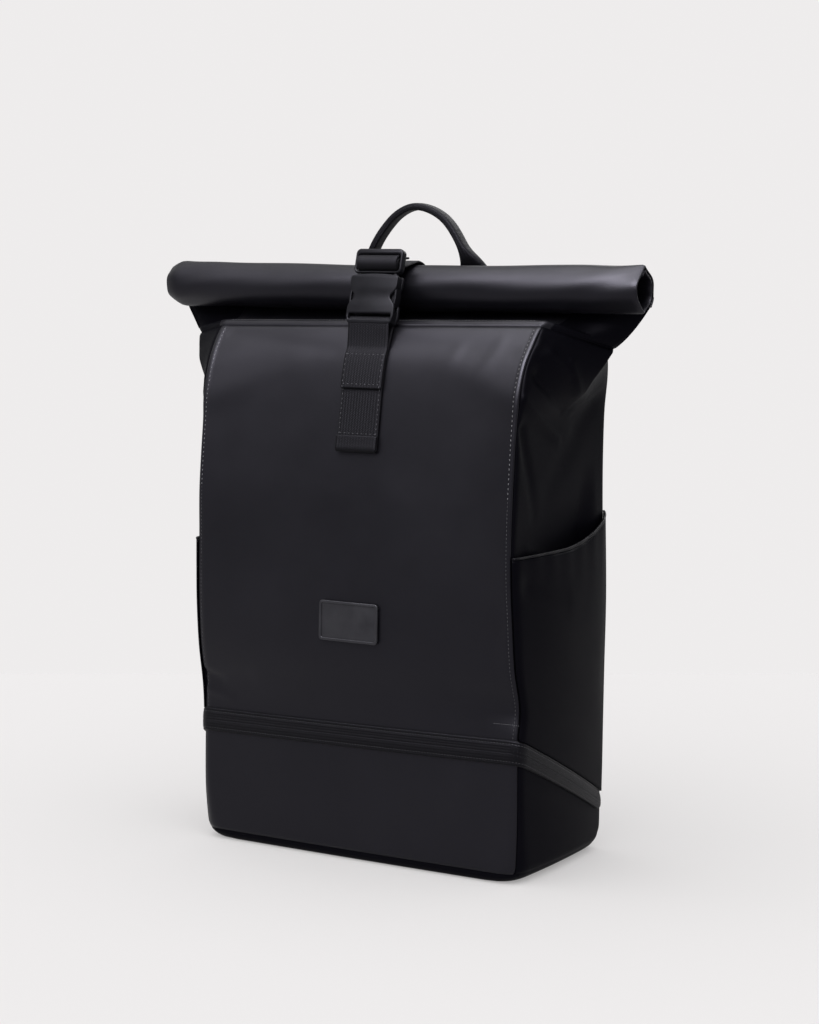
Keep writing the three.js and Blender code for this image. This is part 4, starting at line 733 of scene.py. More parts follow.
around = np.concatenate([edge_columns(face, 24)[:-1] for face in range(4)])
climbs = np.array([0.0, 0.3, 0.9, 1.8, 3.0, 4.6, 6.6, 8.2, 9.0])
uu, hh = np.meshgrid(around, climbs)
base_outer = skin(uu, hh, -0.55 * smooth((hh - 6.6) / 1.6))
base_inner = skin(uu, hh, -CLOTH - 0.6)
base_outer[0, :, 2] = 0.0
base_inner[0] = base_outer[0] * [0.99, 0.985, 0] + [0, 0, CLOTH]
base_inner[1:, :, 2] = np.maximum(base_inner[1:, :, 2], CLOTH * 1.02)
shrink = [np.concatenate([base_outer[0][:, :2] * s, np.full((len(around), 1), z)], 1)
          for s, z in ((0.45, 0.0), (0.8, 0.0), (0.97, 0.0))]
shrink_in = [np.concatenate([base_inner[0][:, :2] * s, np.full((len(around), 1), CLOTH)], 1)
             for s in (0.97, 0.8, 0.45)]
base_rings = shrink + list(base_outer) + list(base_inner[::-1]) + shrink_in
base_uv = np.stack([np.asarray(base_rings)[..., 0], np.asarray(base_rings)[..., 1]], -1) * MM
base_cloth = rings_piece("base_cloth", base_rings, base_uv)
dress(base_cloth, side_cloth, "base_panel")


# %% Blow up padded pieces
def puffed(piece, pinned, pressure, cap, frames=20):
    """Runs the cloth simulation on a closed piece; no point moves further than the cap, in mm."""
    start = np.array([v.co[:] for v in piece.data.vertices])
    group = piece.vertex_groups.new(name="sewn")
    group.add([int(i) for i in pinned], 1.0, "REPLACE")
    cloth = piece.modifiers.new("cloth", "CLOTH")
    cloth.settings.use_pressure = True
    cloth.settings.uniform_pressure_force = pressure
    cloth.settings.effector_weights.gravity = 0
    cloth.settings.vertex_group_mass = "sewn"
    cloth.settings.quality = 5
    cloth.settings.mass = 0.3
    cloth.settings.tension_stiffness = 15
    cloth.settings.compression_stiffness = 15
    cloth.settings.bending_stiffness = 0.5
    cloth.point_cache.frame_end = frames
    scene = bpy.context.scene
    for number in range(1, frames + 1):
        scene.frame_set(number)
    evaluated = piece.evaluated_get(bpy.context.evaluated_depsgraph_get())
    moved = np.array([v.co[:] for v in evaluated.data.vertices])
    piece.modifiers.clear()
    piece.vertex_groups.clear()
    scene.frame_set(1)
    step = moved - start
    length = np.linalg.norm(step, axis=1, keepdims=True)
    step *= np.minimum(1, cap * MM / np.maximum(length, 1e-9))
    piece.data.vertices.foreach_set("co", (start + step).astype(np.float32).ravel())
    piece.data.update()
    print(piece.name, "swells by up to", round(float(length.max() * 1000), 1), "mm, kept under", cap)
    return piece


# %% Padded back
QUILT_INSET = 24.0


def back_edge_distance(u, h, rows):
    side = np.minimum(u - 2, 3 - u) * BODY_WIDTH
    return np.minimum(side, np.minimum(h - rows[0], rows[-1] - h))


def back_grids(columns, rows):
    u, h = np.meshgrid(columns, rows)
    side = np.minimum(u - 2, 3 - u) * BODY_WIDTH
    edge = back_edge_distance(u, h, rows)
    thick = mix(CLOTH, BACK_PADDING, smooth(side / PADDING_EDGE))
    quilted = -1.1 * np.exp(-((edge - QUILT_INSET) / 1.6) ** 2)
    middle = -1.4 * np.exp(-((np.abs(u - 2.5) * BODY_WIDTH) / 5.0) ** 2) * smooth((edge - 20) / 10)
    outer = skin(u, h, seam_sink(edge) + quilted + middle)
    inner = skin(u, h, -thick)
    uv = np.stack([u * BODY_WIDTH, h], -1) * MM
    return outer, inner, uv


back_rows = plain_rows(LOWER_FOOT, TOP_EDGE, 3.6)
back_columns = edge_columns(2, 70)
padded_back = cloth_piece("padded_back", *back_grids(back_columns, back_rows))
count = len(back_rows) * len(back_columns)
uu, hh = np.meshgrid(back_columns, back_rows)
back_edge = back_edge_distance(uu, hh, back_rows).ravel()
sewn = np.where((back_edge < 9) | (np.abs(back_edge - QUILT_INSET) < 2.6))[0]
puffed(padded_back, np.concatenate([sewn, np.arange(count, 2 * count)]), 3.0, 2.6)
dress(padded_back, padded_cloth, "back_panel")

# %% [markdown]
# ## The rolled top
#
# The neck of the bag is pressed flat and rolled down towards the front, so its end shows the spiral
# of the doubled cloth. The rolled part is one sheet along a spiral, and the collar below it is a
# ring that is wide and oval at the seam and flat where it enters the roll. At the sides the collar
# folds into pointed ears.

# %% Roll sizes and its spiral
ROLL_RADIUS = 20.2
ROLL_RISE = 30.0
ROLL_HEIGHT = BODY_HEIGHT + ROLL_RISE
ROLL_SAG = 1.5
ROLL_SETBACK = -7.0
ROLL_TURNS = 1.45
ROLL_CLOTH = 2.4
ROLL_LAYER_GAP = 0.9
ROLL_INSET = 0.1
ROLL_ENTRY = math.radians(-42)
ROLL_LEAD = 0.12
ROLL_POINT = 0.16
ROLL_POINT_KEEP = 0.75
ROLL_LENGTH = BODY_WIDTH + BODY_DEPTH
LENS_POWER = 12
LENS_WIDE = 0.94
LENS_BOW = 2.7
LENS_FOLD = 5.0
ROLL_END_ROUND = 4.0
ROLL_END_REACH = 6.5
COLLAR_REACH = 0.86
COLLAR_LIFT = 0.5
COLLAR_CROWN = 2.0


def roll_axis(x):
    share = 2 * x / ROLL_LENGTH
    return ROLL_SETBACK, ROLL_HEIGHT - ROLL_SAG * (1 - share * share)


def roll_point(x, turned, offset=0.0):
    angle = ROLL_ENTRY + turned
    at_end = np.abs(2 * x / ROLL_LENGTH) ** 3
    pinch = 1 + ROLL_POINT * mix(0.2, 1, at_end) * (np.abs(np.sin(angle)) ** 8 - ROLL_POINT_KEEP)
    reach = ROLL_RADIUS - ROLL_CLOTH / 2 - (ROLL_CLOTH + ROLL_LAYER_GAP) * turned / (2 * math.pi)
    mouth = np.clip(2 * x / ROLL_LENGTH, 0, 1) ** LENS_POWER * (turned > 0.4)
    fold = smooth((turned - 2 * math.pi) / 0.7) * np.exp(-(((angle - 1.5 * math.pi) / 0.55) ** 2))
    reach = (reach + offset) * pinch - LENS_FOLD * fold * mouth
    y, z = roll_axis(x)
    flat = np.cos(angle)
    lens = np.sign(flat) * (1 - np.abs(np.sin(angle)) ** LENS_BOW) * LENS_WIDE
    flat = mix(flat, lens, mouth)
    return np.stack([x + 0 * reach, y + reach * flat, z + reach * np.sin(angle)], -1)


def roll_waves(x, turned):
    """Shallow tension waves along the roll, stronger near its ends and beside the buckle."""
    angle = ROLL_ENTRY + turned
    long_waves = 0.28 * np.sin(x * 0.052 + 1.7 * np.sin(angle * 2)) + 0.2 * np.sin(x * 0.021 + angle * 3)
    ends = smooth((np.abs(x) - 150) / 60) * 0.5 * np.sin(angle * 5 + x * 0.08)
    strap = 0.7 * np.exp(-((np.abs(x - 2) - 22) / 6.0) ** 2) * np.cos(angle * 1.0)
    left_end = ROLL_END_ROUND * np.exp(-(((x + ROLL_LENGTH / 2) / ROLL_END_REACH) ** 2))
    return (long_waves + ends - 0.6 * np.abs(strap)) * smooth(turned / 0.6) - left_end * smooth(turned / 0.9)


xs = ROLL_LENGTH * np.concatenate([
    [-0.5, -0.4985, -0.495], np.linspace(-0.488, 0.488, 118), [0.495, 0.4985, 0.5]])
turns = np.linspace(-ROLL_LEAD, ROLL_TURNS * 2 * math.pi, 170)
xx, tt = np.meshgrid(xs, turns)
inset = 0.9 * np.exp(-((ROLL_LENGTH / 2 - np.abs(xx)) / 1.2) ** 2)
ripple = roll_waves(xx, tt)
roll_outer = roll_point(xx, tt, ROLL_CLOTH / 2 - inset + ripple)
roll_inner = roll_point(xx, tt, -ROLL_CLOTH / 2 + inset + ripple)
roll_uv = np.stack([xx * MM, tt * ROLL_RADIUS * MM], -1)
rolled_sheet = cloth_piece("rolled_sheet", roll_outer, roll_inner, roll_uv)
dress(rolled_sheet, coated_cloth, "rolltop")


# %% Collar
def entry_point(u):
    seat = sharp_skin(u, BODY_HEIGHT)
    face, _ = place_of(u)
    s = along_side(u)
    fold = np.where(face == 1, EAR_FOLD[1], EAR_FOLD[3])
    side = face % 2 == 1
    folded = np.where(side, tent(s, fold), 0.0)
    tip = ROLL_LENGTH / 2 - SEAM_GAP
    x = np.where(side, np.sign(seat[..., 0]) * mix(BODY_WIDTH / 2, tip, folded), seat[..., 0])
    layer = np.where(side, np.where(folded >= 0.9999, 0, (1 - folded / 2) * np.where(s < fold, 1, -1)),
                     np.where(face == 0, 1.0, -1.0))
    across = ((ROLL_CLOTH / 2 - ROLL_INSET) * layer)[..., None]
    return roll_point(x, 0 * x) - across * np.array([0, math.cos(ROLL_ENTRY), math.sin(ROLL_ENTRY)])


def collar_point(u, k):
    u, k = np.broadcast_arrays(np.asarray(u, float), np.asarray(k, float))
    a = plain_skin(u, BODY_HEIGHT) + [0, 0, 3 * SEAM_GAP]
    c = entry_point(u)
    face, _ = place_of(u)
    backward = np.where(face % 2 == 1, along_side(u), face / 2)[..., None]
    under = np.stack([mix(a[..., 0], c[..., 0], 0.5), mix(a[..., 1], c[..., 1], COLLAR_REACH),
                      a[..., 2] + COLLAR_LIFT], -1)
    over = (a + c) / 2 + [0, 0, COLLAR_CROWN]
    b = mix(under, over, backward)
    k = k[..., None]
    return a * (1 - k) ** 2 + b * 2 * k * (1 - k) + c * k * k


def collar_normal(u, k):
    step = 1e-3
    across = collar_point(u + step, k) - collar_point(u - step, k)
    up = collar_point(u, k + step) - collar_point(u, k - step)
    normal = unit(np.cross(across, up))
    normal[..., 2] *= smooth(k / 0.3)
    return unit(normal)


COLLAR_RIDGE = 3.4
COLLAR_RIDGE_AT = 0.10
COLLAR_RIDGE_REACH = 0.075
RIDGE_WAY = np.array([0, -0.45, 1.0])
EAR_START = 4.0


def collar_front(u):
    """The doubled seam allowance stands up along the front, and fades out along the sides."""
    turn = np.mod(u + 1, 4.0) - 1
    return smooth((turn + 0.45) / 0.35) * smooth((1.45 - turn) / 0.35)


collar_u = np.concatenate([np.concatenate([
    face + np.array([0, 0.004, 0.012, 0.022]),
    np.linspace(face + 0.035, face + 0.965, 60 if face % 2 == 0 else 31),
    face + 1 - np.array([0.022, 0.012, 0.004])]) for face in range(4)])
collar_k = np.concatenate([[0, 0.01, 0.025, 0.05, 0.09], np.linspace(0.14, 1, 22)])
uu, kk = np.meshgrid(collar_u, collar_k)
facing = collar_normal(uu, kk)
face, _ = place_of(uu)
crease = 0.5 * np.sin(uu * 37 + 2.1 * np.sin(uu * 11)) * arch(np.clip(kk, 0, 1)) * (face % 2 == 0)
sink = -0.9 * np.exp(-((kk / 0.03) ** 2))
ridge = COLLAR_RIDGE * np.exp(-(((kk - COLLAR_RIDGE_AT) / COLLAR_RIDGE_REACH) ** 2)) * collar_front(uu)
outer = collar_point(uu, kk) + facing * (sink + crease)[..., None] + ridge[..., None] * RIDGE_WAY
wall = np.minimum(CLOTH, 0.30 + 1.5 * (1 - kk))[..., None]
inner = collar_point(uu, kk) - facing * wall
lip = skin(collar_u, BODY_HEIGHT - 0.5, -CLOTH - 0.7) - [0, 0, 3.5]
lip_back = lip + unit(skin(collar_u, BODY_HEIGHT, -9.0) - skin(collar_u, BODY_HEIGHT)) * 0.8
collar_rings = np.concatenate([lip[None], outer, inner[::-1], lip_back[None]])
collar_uv = np.stack([uu * 0.22, kk * 0.05], -1)
collar_uv = np.concatenate([collar_uv[:1], collar_uv, collar_uv[::-1], collar_uv[:1]])
size = len(collar_u)
ring_count = len(collar_rings)
faces = grid_faces(ring_count, size, close_columns=True)
faces += [((ring_count - 1) * size + i, (ring_count - 1) * size + (i + 1) % size, (i + 1) % size, i)
          for i in range(size)]
collar_cloth = finished_object("collar_cloth", collar_rings.reshape(-1, 3), faces, collar_uv.reshape(-1, 2))
dress(collar_cloth, coated_cloth, "rolltop")
# The collar's ears take the darker, duller side cloth: a painted shade, so that they look as dark as the
# shaded side of the bag.
collar_cloth.data.materials.append(side_cloth)
for polygon in collar_cloth.data.polygons:
    polygon.material_index = int(abs(polygon.center.x) > (BODY_WIDTH / 2 + EAR_START) * MM)

# %% [markdown]
# ## Webbing
#
# Webbing is a woven band that is stiff across and bends along. So each strap is a row of sections
# along a path, with rounded edges, and a UV map that runs along it, for its ribs. The buckle strap
# goes over the roll, round the bar of the upper buckle half and back on itself.

# %% Sections of a band
WEBBING_WIDTH = 38.0
WEBBING = 1.8
TRIM_OFFSET = 2.0
EDGE_STEPS = 5


def band_section(width, thickness, across=16):
    """A flat oval section, in (across, out), wound once round."""
    r = thickness / 2
    flat = np.linspace(-width / 2 + r, width / 2 - r, across)
    turn = np.linspace(-math.pi / 2, math.pi / 2, EDGE_STEPS + 2)[1:-1]
    top = np.stack([flat[::-1], np.full(across, r)], -1)
    bottom = np.stack([flat, np.full(across, -r)], -1)
    right = np.stack([width / 2 - r + r * np.cos(turn), r * np.sin(turn)], -1)
    left = np.stack([-width / 2 + r - r * np.cos(turn), -r * np.sin(turn)], -1)
    return np.concatenate([bottom, right, top, left])


def path_length(points):
    return np.concatenate([[0], np.cumsum(np.linalg.norm(np.diff(points, axis=0), axis=1))])


def smooth_path(points, spacing=1.2):
    """A rounded path through the points, in even steps."""
    points = np.asarray(points, float)
    keys = path_length(points)
    steps = np.linspace(0, keys[-1], max(8, int(keys[-1] / spacing)))
    return np.stack([table_curve(keys, points[:, i], steps) for i in range(3)], -1)


def band_piece(name, path, side, width, thickness, section=band_section):
    """A band whose width lies along `side`, a direction, or one direction for each point."""
    path = np.asarray(path, float)
    along = unit(np.gradient(path, axis=0))
    side = np.broadcast_to(np.asarray(side, float), path.shape)
    side = unit(side - along * np.sum(side * along, -1, keepdims=True))
    out = np.cross(side, along)
    widths = np.broadcast_to(width, len(path))
    thicks = np.broadcast_to(thickness, len(path))
    rings, uvs = [], []
    lengths = path_length(path)
    for i in range(len(path)):
        shape = section(widths[i], thicks[i])
        rings.append(path[i] + shape[:, :1] * side[i] + shape[:, 1:] * out[i])
        uvs.append(np.stack([shape[:, 0] * MM, np.full(len(shape), lengths[i] * MM)], -1))
    return rings_piece(name, rings, np.asarray(uvs))


print("section of the webbing:", len(band_section(WEBBING_WIDTH, WEBBING)), "points")


# %% Where the buckle sits
BUCKLE_MARGIN = 3.0
BUCKLE_WIDTH = WEBBING_WIDTH + 2 * BUCKLE_MARGIN
BUCKLE_JOINT_RISE = 10.5
BUCKLE_STANDOFF = 9.3
BUCKLE_TILT = math.radians(16)
BUCKLE_BODY_LENGTH = 41.0
BUCKLE_BODY_THICKNESS = 10.5
BUCKLE_BAR = 3.6
BUCKLE_BAR_THICKNESS = 4.4
BUCKLE_SLOT = 4.6
FRAME_LENGTH = 20.5
FRAME_THICKNESS = 6.5
FRAME_TOP_BAR = 4.5
FRAME_BASE = 2.4
FRAME_BAR_THICKNESS = 3.4
FRAME_BAR_LOW = FRAME_BASE + BUCKLE_SLOT
FRAME_BAR_HIGH = FRAME_BAR_LOW + BUCKLE_BAR
buckle_frame_matrix = Matrix.Translation((
    TRIM_OFFSET, ROLL_SETBACK - ROLL_RADIUS - BUCKLE_STANDOFF, ROLL_HEIGHT + BUCKLE_JOINT_RISE,
)) @ Matrix.Rotation(math.pi / 2 - BUCKLE_TILT, 4, "X")


def on_buckle(up, out):
    return np.array((buckle_frame_matrix @ Vector((0, up, out)))[:])


def around_bar(bar_up, bar_thickness, leave, count):
    reach = math.hypot(BUCKLE_BAR, bar_thickness) / 2 + SEAM_GAP + WEBBING / 2
    angles = leave + np.linspace(0, math.pi, count)
    return [on_buckle(bar_up + reach * math.sin(a), reach * math.cos(a)) for a in angles]


def level_rows(low, high, margin):
    rows = np.asarray(LEVELS["at"]) * BODY_HEIGHT
    return np.concatenate([[low], rows[(rows > low + margin) & (rows < high - margin)], [high]])


# %% Closure strap, over the roll
CLOSURE_ANCHOR_DROP = 56.5
CLOSURE_TAIL = 14.0
seat = SEAM_GAP + WEBBING / 2
middle_u = 2.5 - TRIM_OFFSET / BODY_WIDTH
anchor = [skin(middle_u, h, seat + 4 * SEAM_GAP) for h in
          level_rows(BODY_HEIGHT - CLOSURE_ANCHOR_DROP, BODY_HEIGHT - SEAM_GAP, 2)]
clear = np.array([0, 0.6, 0.8]) * (2 * seat + SEAM_GAP)
roof = [collar_point(middle_u, k) + clear for k in (0.02, 0.25, 0.5)]
axis_y, axis_z = roll_axis(TRIM_OFFSET)
lap = ROLL_RADIUS * 1.02 + SEAM_GAP + WEBBING / 2
over = [np.array([TRIM_OFFSET, axis_y + lap * math.cos(math.radians(a)),
                  axis_z + lap * math.sin(math.radians(a))]) for a in (40, 52, 64, 76, 88)]
bar_up = (FRAME_BAR_LOW + FRAME_BAR_HIGH) / 2
turn = around_bar(bar_up, FRAME_BAR_THICKNESS, -math.pi * 0.62, 9)
leg = unit((over[-1] - on_buckle(bar_up, 0)) * [0, 1, 1])
tail = turn[-1] + leg * CLOSURE_TAIL
closure_path = np.array([*anchor, *roof, *over, *turn, tail])
closure_path[:, 0] = TRIM_OFFSET
closure_webbing = band_piece("closure_webbing", smooth_path(closure_path), (1, 0, 0), WEBBING_WIDTH, WEBBING)
dress(closure_webbing, bag_webbing, "closure_strap")

wrap_radius = 5.75
wrap = np.array([on_buckle(bar_up + 0.35 + wrap_radius * math.sin(a), wrap_radius * math.cos(a))
                 for a in np.linspace(-0.55 * math.pi, 1.2 * math.pi, 26)])
wrap[:, 0] = TRIM_OFFSET
wrapped_end = band_piece("wrapped_end", wrap, (1, 0, 0), WEBBING_WIDTH - 0.6, WEBBING)
dress(wrapped_end, bag_webbing, "closure_strap")

# %% Front strap, folded back over itself with a hem
STRAP_DROP = 98.5
STRAP_STEP_DROP = 49.5
STRAP_HEM = 12.0
STRAP_LIFT_OFF = 18.0
front_u = 0.5 + TRIM_OFFSET / BODY_WIDTH


def lie(h, offset):
    """Where the strap lies: clear of the highest of the three places under it."""
    half = WEBBING_WIDTH / 2 / BODY_WIDTH
    places = [skin(front_u + shift, h, offset + SEAM_GAP) for shift in (-half, 0, half)]
    best = min(places, key=lambda p: p[1])
    return np.array([TRIM_OFFSET, best[1], best[2]])


strap_inner = SEAM_GAP + WEBBING / 2
strap_outer = strap_inner + WEBBING + SEAM_GAP
strap_top = BODY_HEIGHT - STRAP_LIFT_OFF
strap_foot = BODY_HEIGHT - STRAP_DROP
strap_step = BODY_HEIGHT - STRAP_STEP_DROP
hem = [lie(strap_foot + STRAP_HEM * t, strap_outer) for t in (1.0, 0.5, 0.14)]
fold_low = [lie(strap_foot, (strap_inner + strap_outer) / 2)]
under = [lie(h, strap_inner) for h in np.linspace(strap_foot + WEBBING, strap_top, 12)]
body_bar_up = -BUCKLE_BODY_LENGTH + BUCKLE_BAR / 2
round_bar = around_bar(body_bar_up, BUCKLE_BAR_THICKNESS, -math.pi * 0.05, 9)[::-1]
over_again = [lie(h, strap_outer) for h in np.linspace(strap_step, strap_top, 7)][::-1]
front_path = np.array([*hem, *fold_low, *under, *round_bar, *over_again])
front_path[:, 0] = TRIM_OFFSET
front_webbing = band_piece("front_webbing", smooth_path(front_path, 0.9), (1, 0, 0), WEBBING_WIDTH, WEBBING)
dress(front_webbing, bag_webbing, "front_strap")

# %% [markdown]
# ## Top handle
#
# The handle is one length of webbing with two flat feet. Between them it is folded in three and
# sewn to a narrow tube, which is why its middle looks thin from the front and its foot looks wide.

# %% Handle
HANDLE_SPREAD = 50.0
HANDLE_TOP = ROLL_HEIGHT + 63.0
HANDLE_FORWARD = 30.0
HANDLE_THICKNESS = 6.0
HANDLE_DEPTH = 12.0
HANDLE_DROP = 36.5


def handle_leg(side):
    u = 2.5 - side * HANDLE_SPREAD / BODY_WIDTH
    seat_rows = level_rows(BODY_HEIGHT - HANDLE_DROP, BODY_HEIGHT - BASE_TURN, 2)
    seated = [skin(u, h, SEAM_GAP * 2 + WEBBING) for h in seat_rows]
    bend = [side * HANDLE_SPREAD, HANDLE_FORWARD + 16, BODY_HEIGHT + 24]
    knee = [side * (HANDLE_SPREAD - 4), HANDLE_FORWARD, HANDLE_TOP - 40]
    shoulder = [side * (HANDLE_SPREAD - 25), HANDLE_FORWARD, HANDLE_TOP - 9]
    return [*seated, bend, knee, shoulder]


handle_path = smooth_path([*handle_leg(-1), [-2, HANDLE_FORWARD, HANDLE_TOP + 1.5], *handle_leg(1)[::-1]])
share = path_length(handle_path) / path_length(handle_path)[-1]
thin = table_curve((0, 0.22, 0.34, 0.64, 0.74, 0.8, 1), (0, 0, 1, 1, 0.35, 0, 0), share)
thin = smooth(np.clip(thin, 0, 1))
along = unit(np.gradient(handle_path, axis=0))
handle_side = unit(np.stack([along[:, 2], 0 * share, -along[:, 0]], -1))


def folded_section(width, thickness):
    """A soft rectangle, the section of the folded webbing."""
    angle = np.linspace(0, 2 * math.pi, 33)[:-1]
    power = 0.45
    x = np.sign(np.cos(angle)) * np.abs(np.cos(angle)) ** power * width / 2
    y = np.sign(np.sin(angle)) * np.abs(np.sin(angle)) ** power * thickness / 2
    return np.stack([x, y], -1)


handle_webbing = band_piece("handle_webbing", handle_path, handle_side,
                            mix(WEBBING_WIDTH, HANDLE_THICKNESS, thin), mix(WEBBING, HANDLE_DEPTH, thin),
                            folded_section)
dress(handle_webbing, bag_webbing, "top_handle")

# %% [markdown]
# ## Buckle
#
# A side release buckle is two mouldings. Each is drawn as a flat outline with holes, given its
# thickness and a rounded edge by a 2D curve's extrude and bevel, and then laid in its place. The
# lower half is hollow: two shells with a gap, in which the prongs of the upper half show at the
# finger waists.


# %% Moulded plates from outlines
SHARP_ANGLE = math.radians(40)


def moulded(name, outlines, thickness, rounding, out=0.0, matrix=buckle_frame_matrix):
    """A plate with rounded edges from closed outlines, the first the rim and the rest holes."""
    curve = bpy.data.curves.new(name, "CURVE")
    curve.dimensions = "2D"
    curve.fill_mode = "BOTH"
    curve.extrude = (thickness / 2 - rounding) * MM
    curve.bevel_depth = rounding * MM
    curve.bevel_resolution = 2
    curve.offset = -rounding * MM
    for outline in outlines:
        spline = curve.splines.new("POLY")
        spline.points.add(len(outline) - 1)
        for point, (x, y) in zip(spline.points, outline):
            point.co = (x * MM, y * MM, 0, 1)
        spline.use_cyclic_u = True
    holder = linked(name, curve)
    mesh = bpy.data.meshes.new_from_object(holder.evaluated_get(bpy.context.evaluated_depsgraph_get()))
    bpy.data.objects.remove(holder)
    scaled = Matrix.Scale(MM, 4) @ matrix @ Matrix.Scale(1 / MM, 4) @ Matrix.Translation((0, 0, out * MM))
    mesh.transform(scaled)
    bm = bmesh.new()
    bm.from_mesh(mesh)
    bmesh.ops.remove_doubles(bm, verts=bm.verts, dist=1e-6)
    bmesh.ops.recalc_face_normals(bm, faces=bm.faces)
    for face in bm.faces:
        face.smooth = True
    bm.to_mesh(mesh)
    bm.free()
    return linked(name, mesh)


def joined(name, pieces):
    """One mesh from several, all of them at the origin."""
    bm = bmesh.new()
    for piece in pieces:
        bm.from_mesh(piece.data)
    for edge in bm.edges:
        edge.smooth = edge.calc_face_angle(0.0) < SHARP_ANGLE
    mesh = bpy.data.meshes.new(name)
    bm.to_mesh(mesh)
    bm.free()
    for piece in pieces:
        bpy.data.objects.remove(piece)
    return linked(name, mesh)


def matrix_at(place, across, up, out):
    """A matrix with those three directions, standing at that place."""
    matrix = Matrix([[*row, 0] for row in np.stack([across, up, out], 1)] + [[0, 0, 0, 1]])
    matrix.translation = Vector(place)
    return matrix


def rounded_box(low_x, low_y, high_x, high_y, radius, count=6):
    corners = ((high_x - radius, low_y + radius, -90), (high_x - radius, high_y - radius, 0),
               (low_x + radius, high_y - radius, 90), (low_x + radius, low_y + radius, 180))
    return [(cx + radius * math.cos(math.radians(start + 90 * i / count)),
             cy + radius * math.sin(math.radians(start + 90 * i / count)))
            for cx, cy, start in corners for i in range(count + 1)]


# %% Lower half of the buckle
PLASTIC_GAP = 0.5
BUCKLE_WALL = 2.2
WAIST_DEPTH = 5.4
WAIST_REACH = 4.6
WAIST_CENTRE = 19.0
ARM_REACH = 8.0
ARM_BOW = 0.9
ARM_WALL = 1.7
SLOT_HALF = WEBBING_WIDTH / 2 + PLASTIC_GAP
slot_low = -BUCKLE_BODY_LENGTH + BUCKLE_BAR


def body_outline():
    """Right side from the foot up, a little hollow at the fingers, the arched top, the left side."""
    half_top = BUCKLE_WIDTH / 2
    half_foot = half_top - 1.0
    foot = -BUCKLE_BODY_LENGTH
    right = [(half_foot - 3.5 + 3.5 * math.cos(a), foot + 3.5 + 3.5 * math.sin(a))
             for a in np.linspace(-math.pi / 2, 0, 7)]
    right += [(half_top - WAIST_DEPTH * math.exp(-((y + WAIST_CENTRE) / WAIST_REACH) ** 2), y)
              for y in np.linspace(foot + 6, -4.6, 22)]
    top = -PLASTIC_GAP / 2
    right += [(half_top - 2.5 + 2.5 * math.cos(a), top - 3.7 + 2.5 * math.sin(a))
              for a in np.linspace(0, math.pi / 2, 6)]
    right += [(x, top - 1.2 * (x / (half_top - 2.5)) ** 2) for x in np.linspace(half_top - 4, 0, 9)]
    return right + [(-x, y) for x, y in right[-2::-1]]


def finger_arm(side):
    """The outer bow of a prong, which is pressed to open the buckle."""
    ys = np.linspace(-WAIST_CENTRE - ARM_REACH, -WAIST_CENTRE + ARM_REACH, 17)
    outer = [(BUCKLE_WIDTH / 2 - 0.3 - ARM_BOW * ((y + WAIST_CENTRE) / ARM_REACH) ** 2, y) for y in ys]
    inner = [(x - ARM_WALL, y) for x, y in outer[::-1]]
    return [(side * x, y) for x, y in outer + inner]


slot_outline = rounded_box(-SLOT_HALF, slot_low, SLOT_HALF, slot_low + BUCKLE_SLOT, 1.2)
shell_thickness = 2.9
shell_out = (BUCKLE_BODY_THICKNESS - shell_thickness) / 2
front_shell = moulded("front_shell", [body_outline(), slot_outline], shell_thickness, 1.0, shell_out)
back_shell = moulded("back_shell", [body_outline(), slot_outline], shell_thickness, 1.0, -shell_out)
cavity_half = BUCKLE_WIDTH / 2 - BUCKLE_WALL
cavity_low = slot_low + BUCKLE_SLOT + BUCKLE_WALL
middle_thickness = BUCKLE_BODY_THICKNESS - 2 * shell_thickness + 1.2
middle_parts = [
    moulded("core_foot", [[(-BUCKLE_WIDTH / 2 + 1.8, -BUCKLE_BODY_LENGTH + 1),
                           (BUCKLE_WIDTH / 2 - 1.8, -BUCKLE_BODY_LENGTH + 1),
                           (BUCKLE_WIDTH / 2 - 1.4, cavity_low), (-BUCKLE_WIDTH / 2 + 1.4, cavity_low)],
                          slot_outline], middle_thickness, 0.3),
]
for side in (-1, 1):
    x0, x1 = sorted((side * cavity_half, side * (BUCKLE_WIDTH / 2 - 0.7)))
    middle_parts.append(moulded("core_side", [rounded_box(x0, -WAIST_CENTRE + 7.4, x1, -2.6, 0.5)],
                                middle_thickness, 0.25))
buckle_lower = joined("buckle_lower", [front_shell, back_shell, *middle_parts])
dress(buckle_lower, buckle_plastic, "buckle_body")

# %% Upper half of the buckle
prong_length = -cavity_low - 1.5
prong_outer = cavity_half - PLASTIC_GAP


def prong_outline(side):
    ts = np.linspace(0, 1, 12)
    foot_y = -prong_length
    bulge = 1.9
    outer = [(prong_outer - 1, 1), (prong_outer - 1, -WAIST_CENTRE + 8.5)]
    outer += [(prong_outer - 1 + (bulge + 1) * math.cos(a) ** 2, -WAIST_CENTRE - 6.2 * math.sin(a))
              for a in np.linspace(-math.pi / 2, math.pi / 2, 13)]
    foot = [(prong_outer - 1.5, foot_y), (prong_outer - 4, foot_y * 0.92)]
    inner = [(prong_outer - 4 - 1.6 * math.sin(math.pi * t), -prong_length * 0.92 * (1 - t) + t)
             for t in ts[1:]]
    points = outer + foot + inner
    return [(side * x, y) for x, y in (points if side > 0 else points[::-1])]


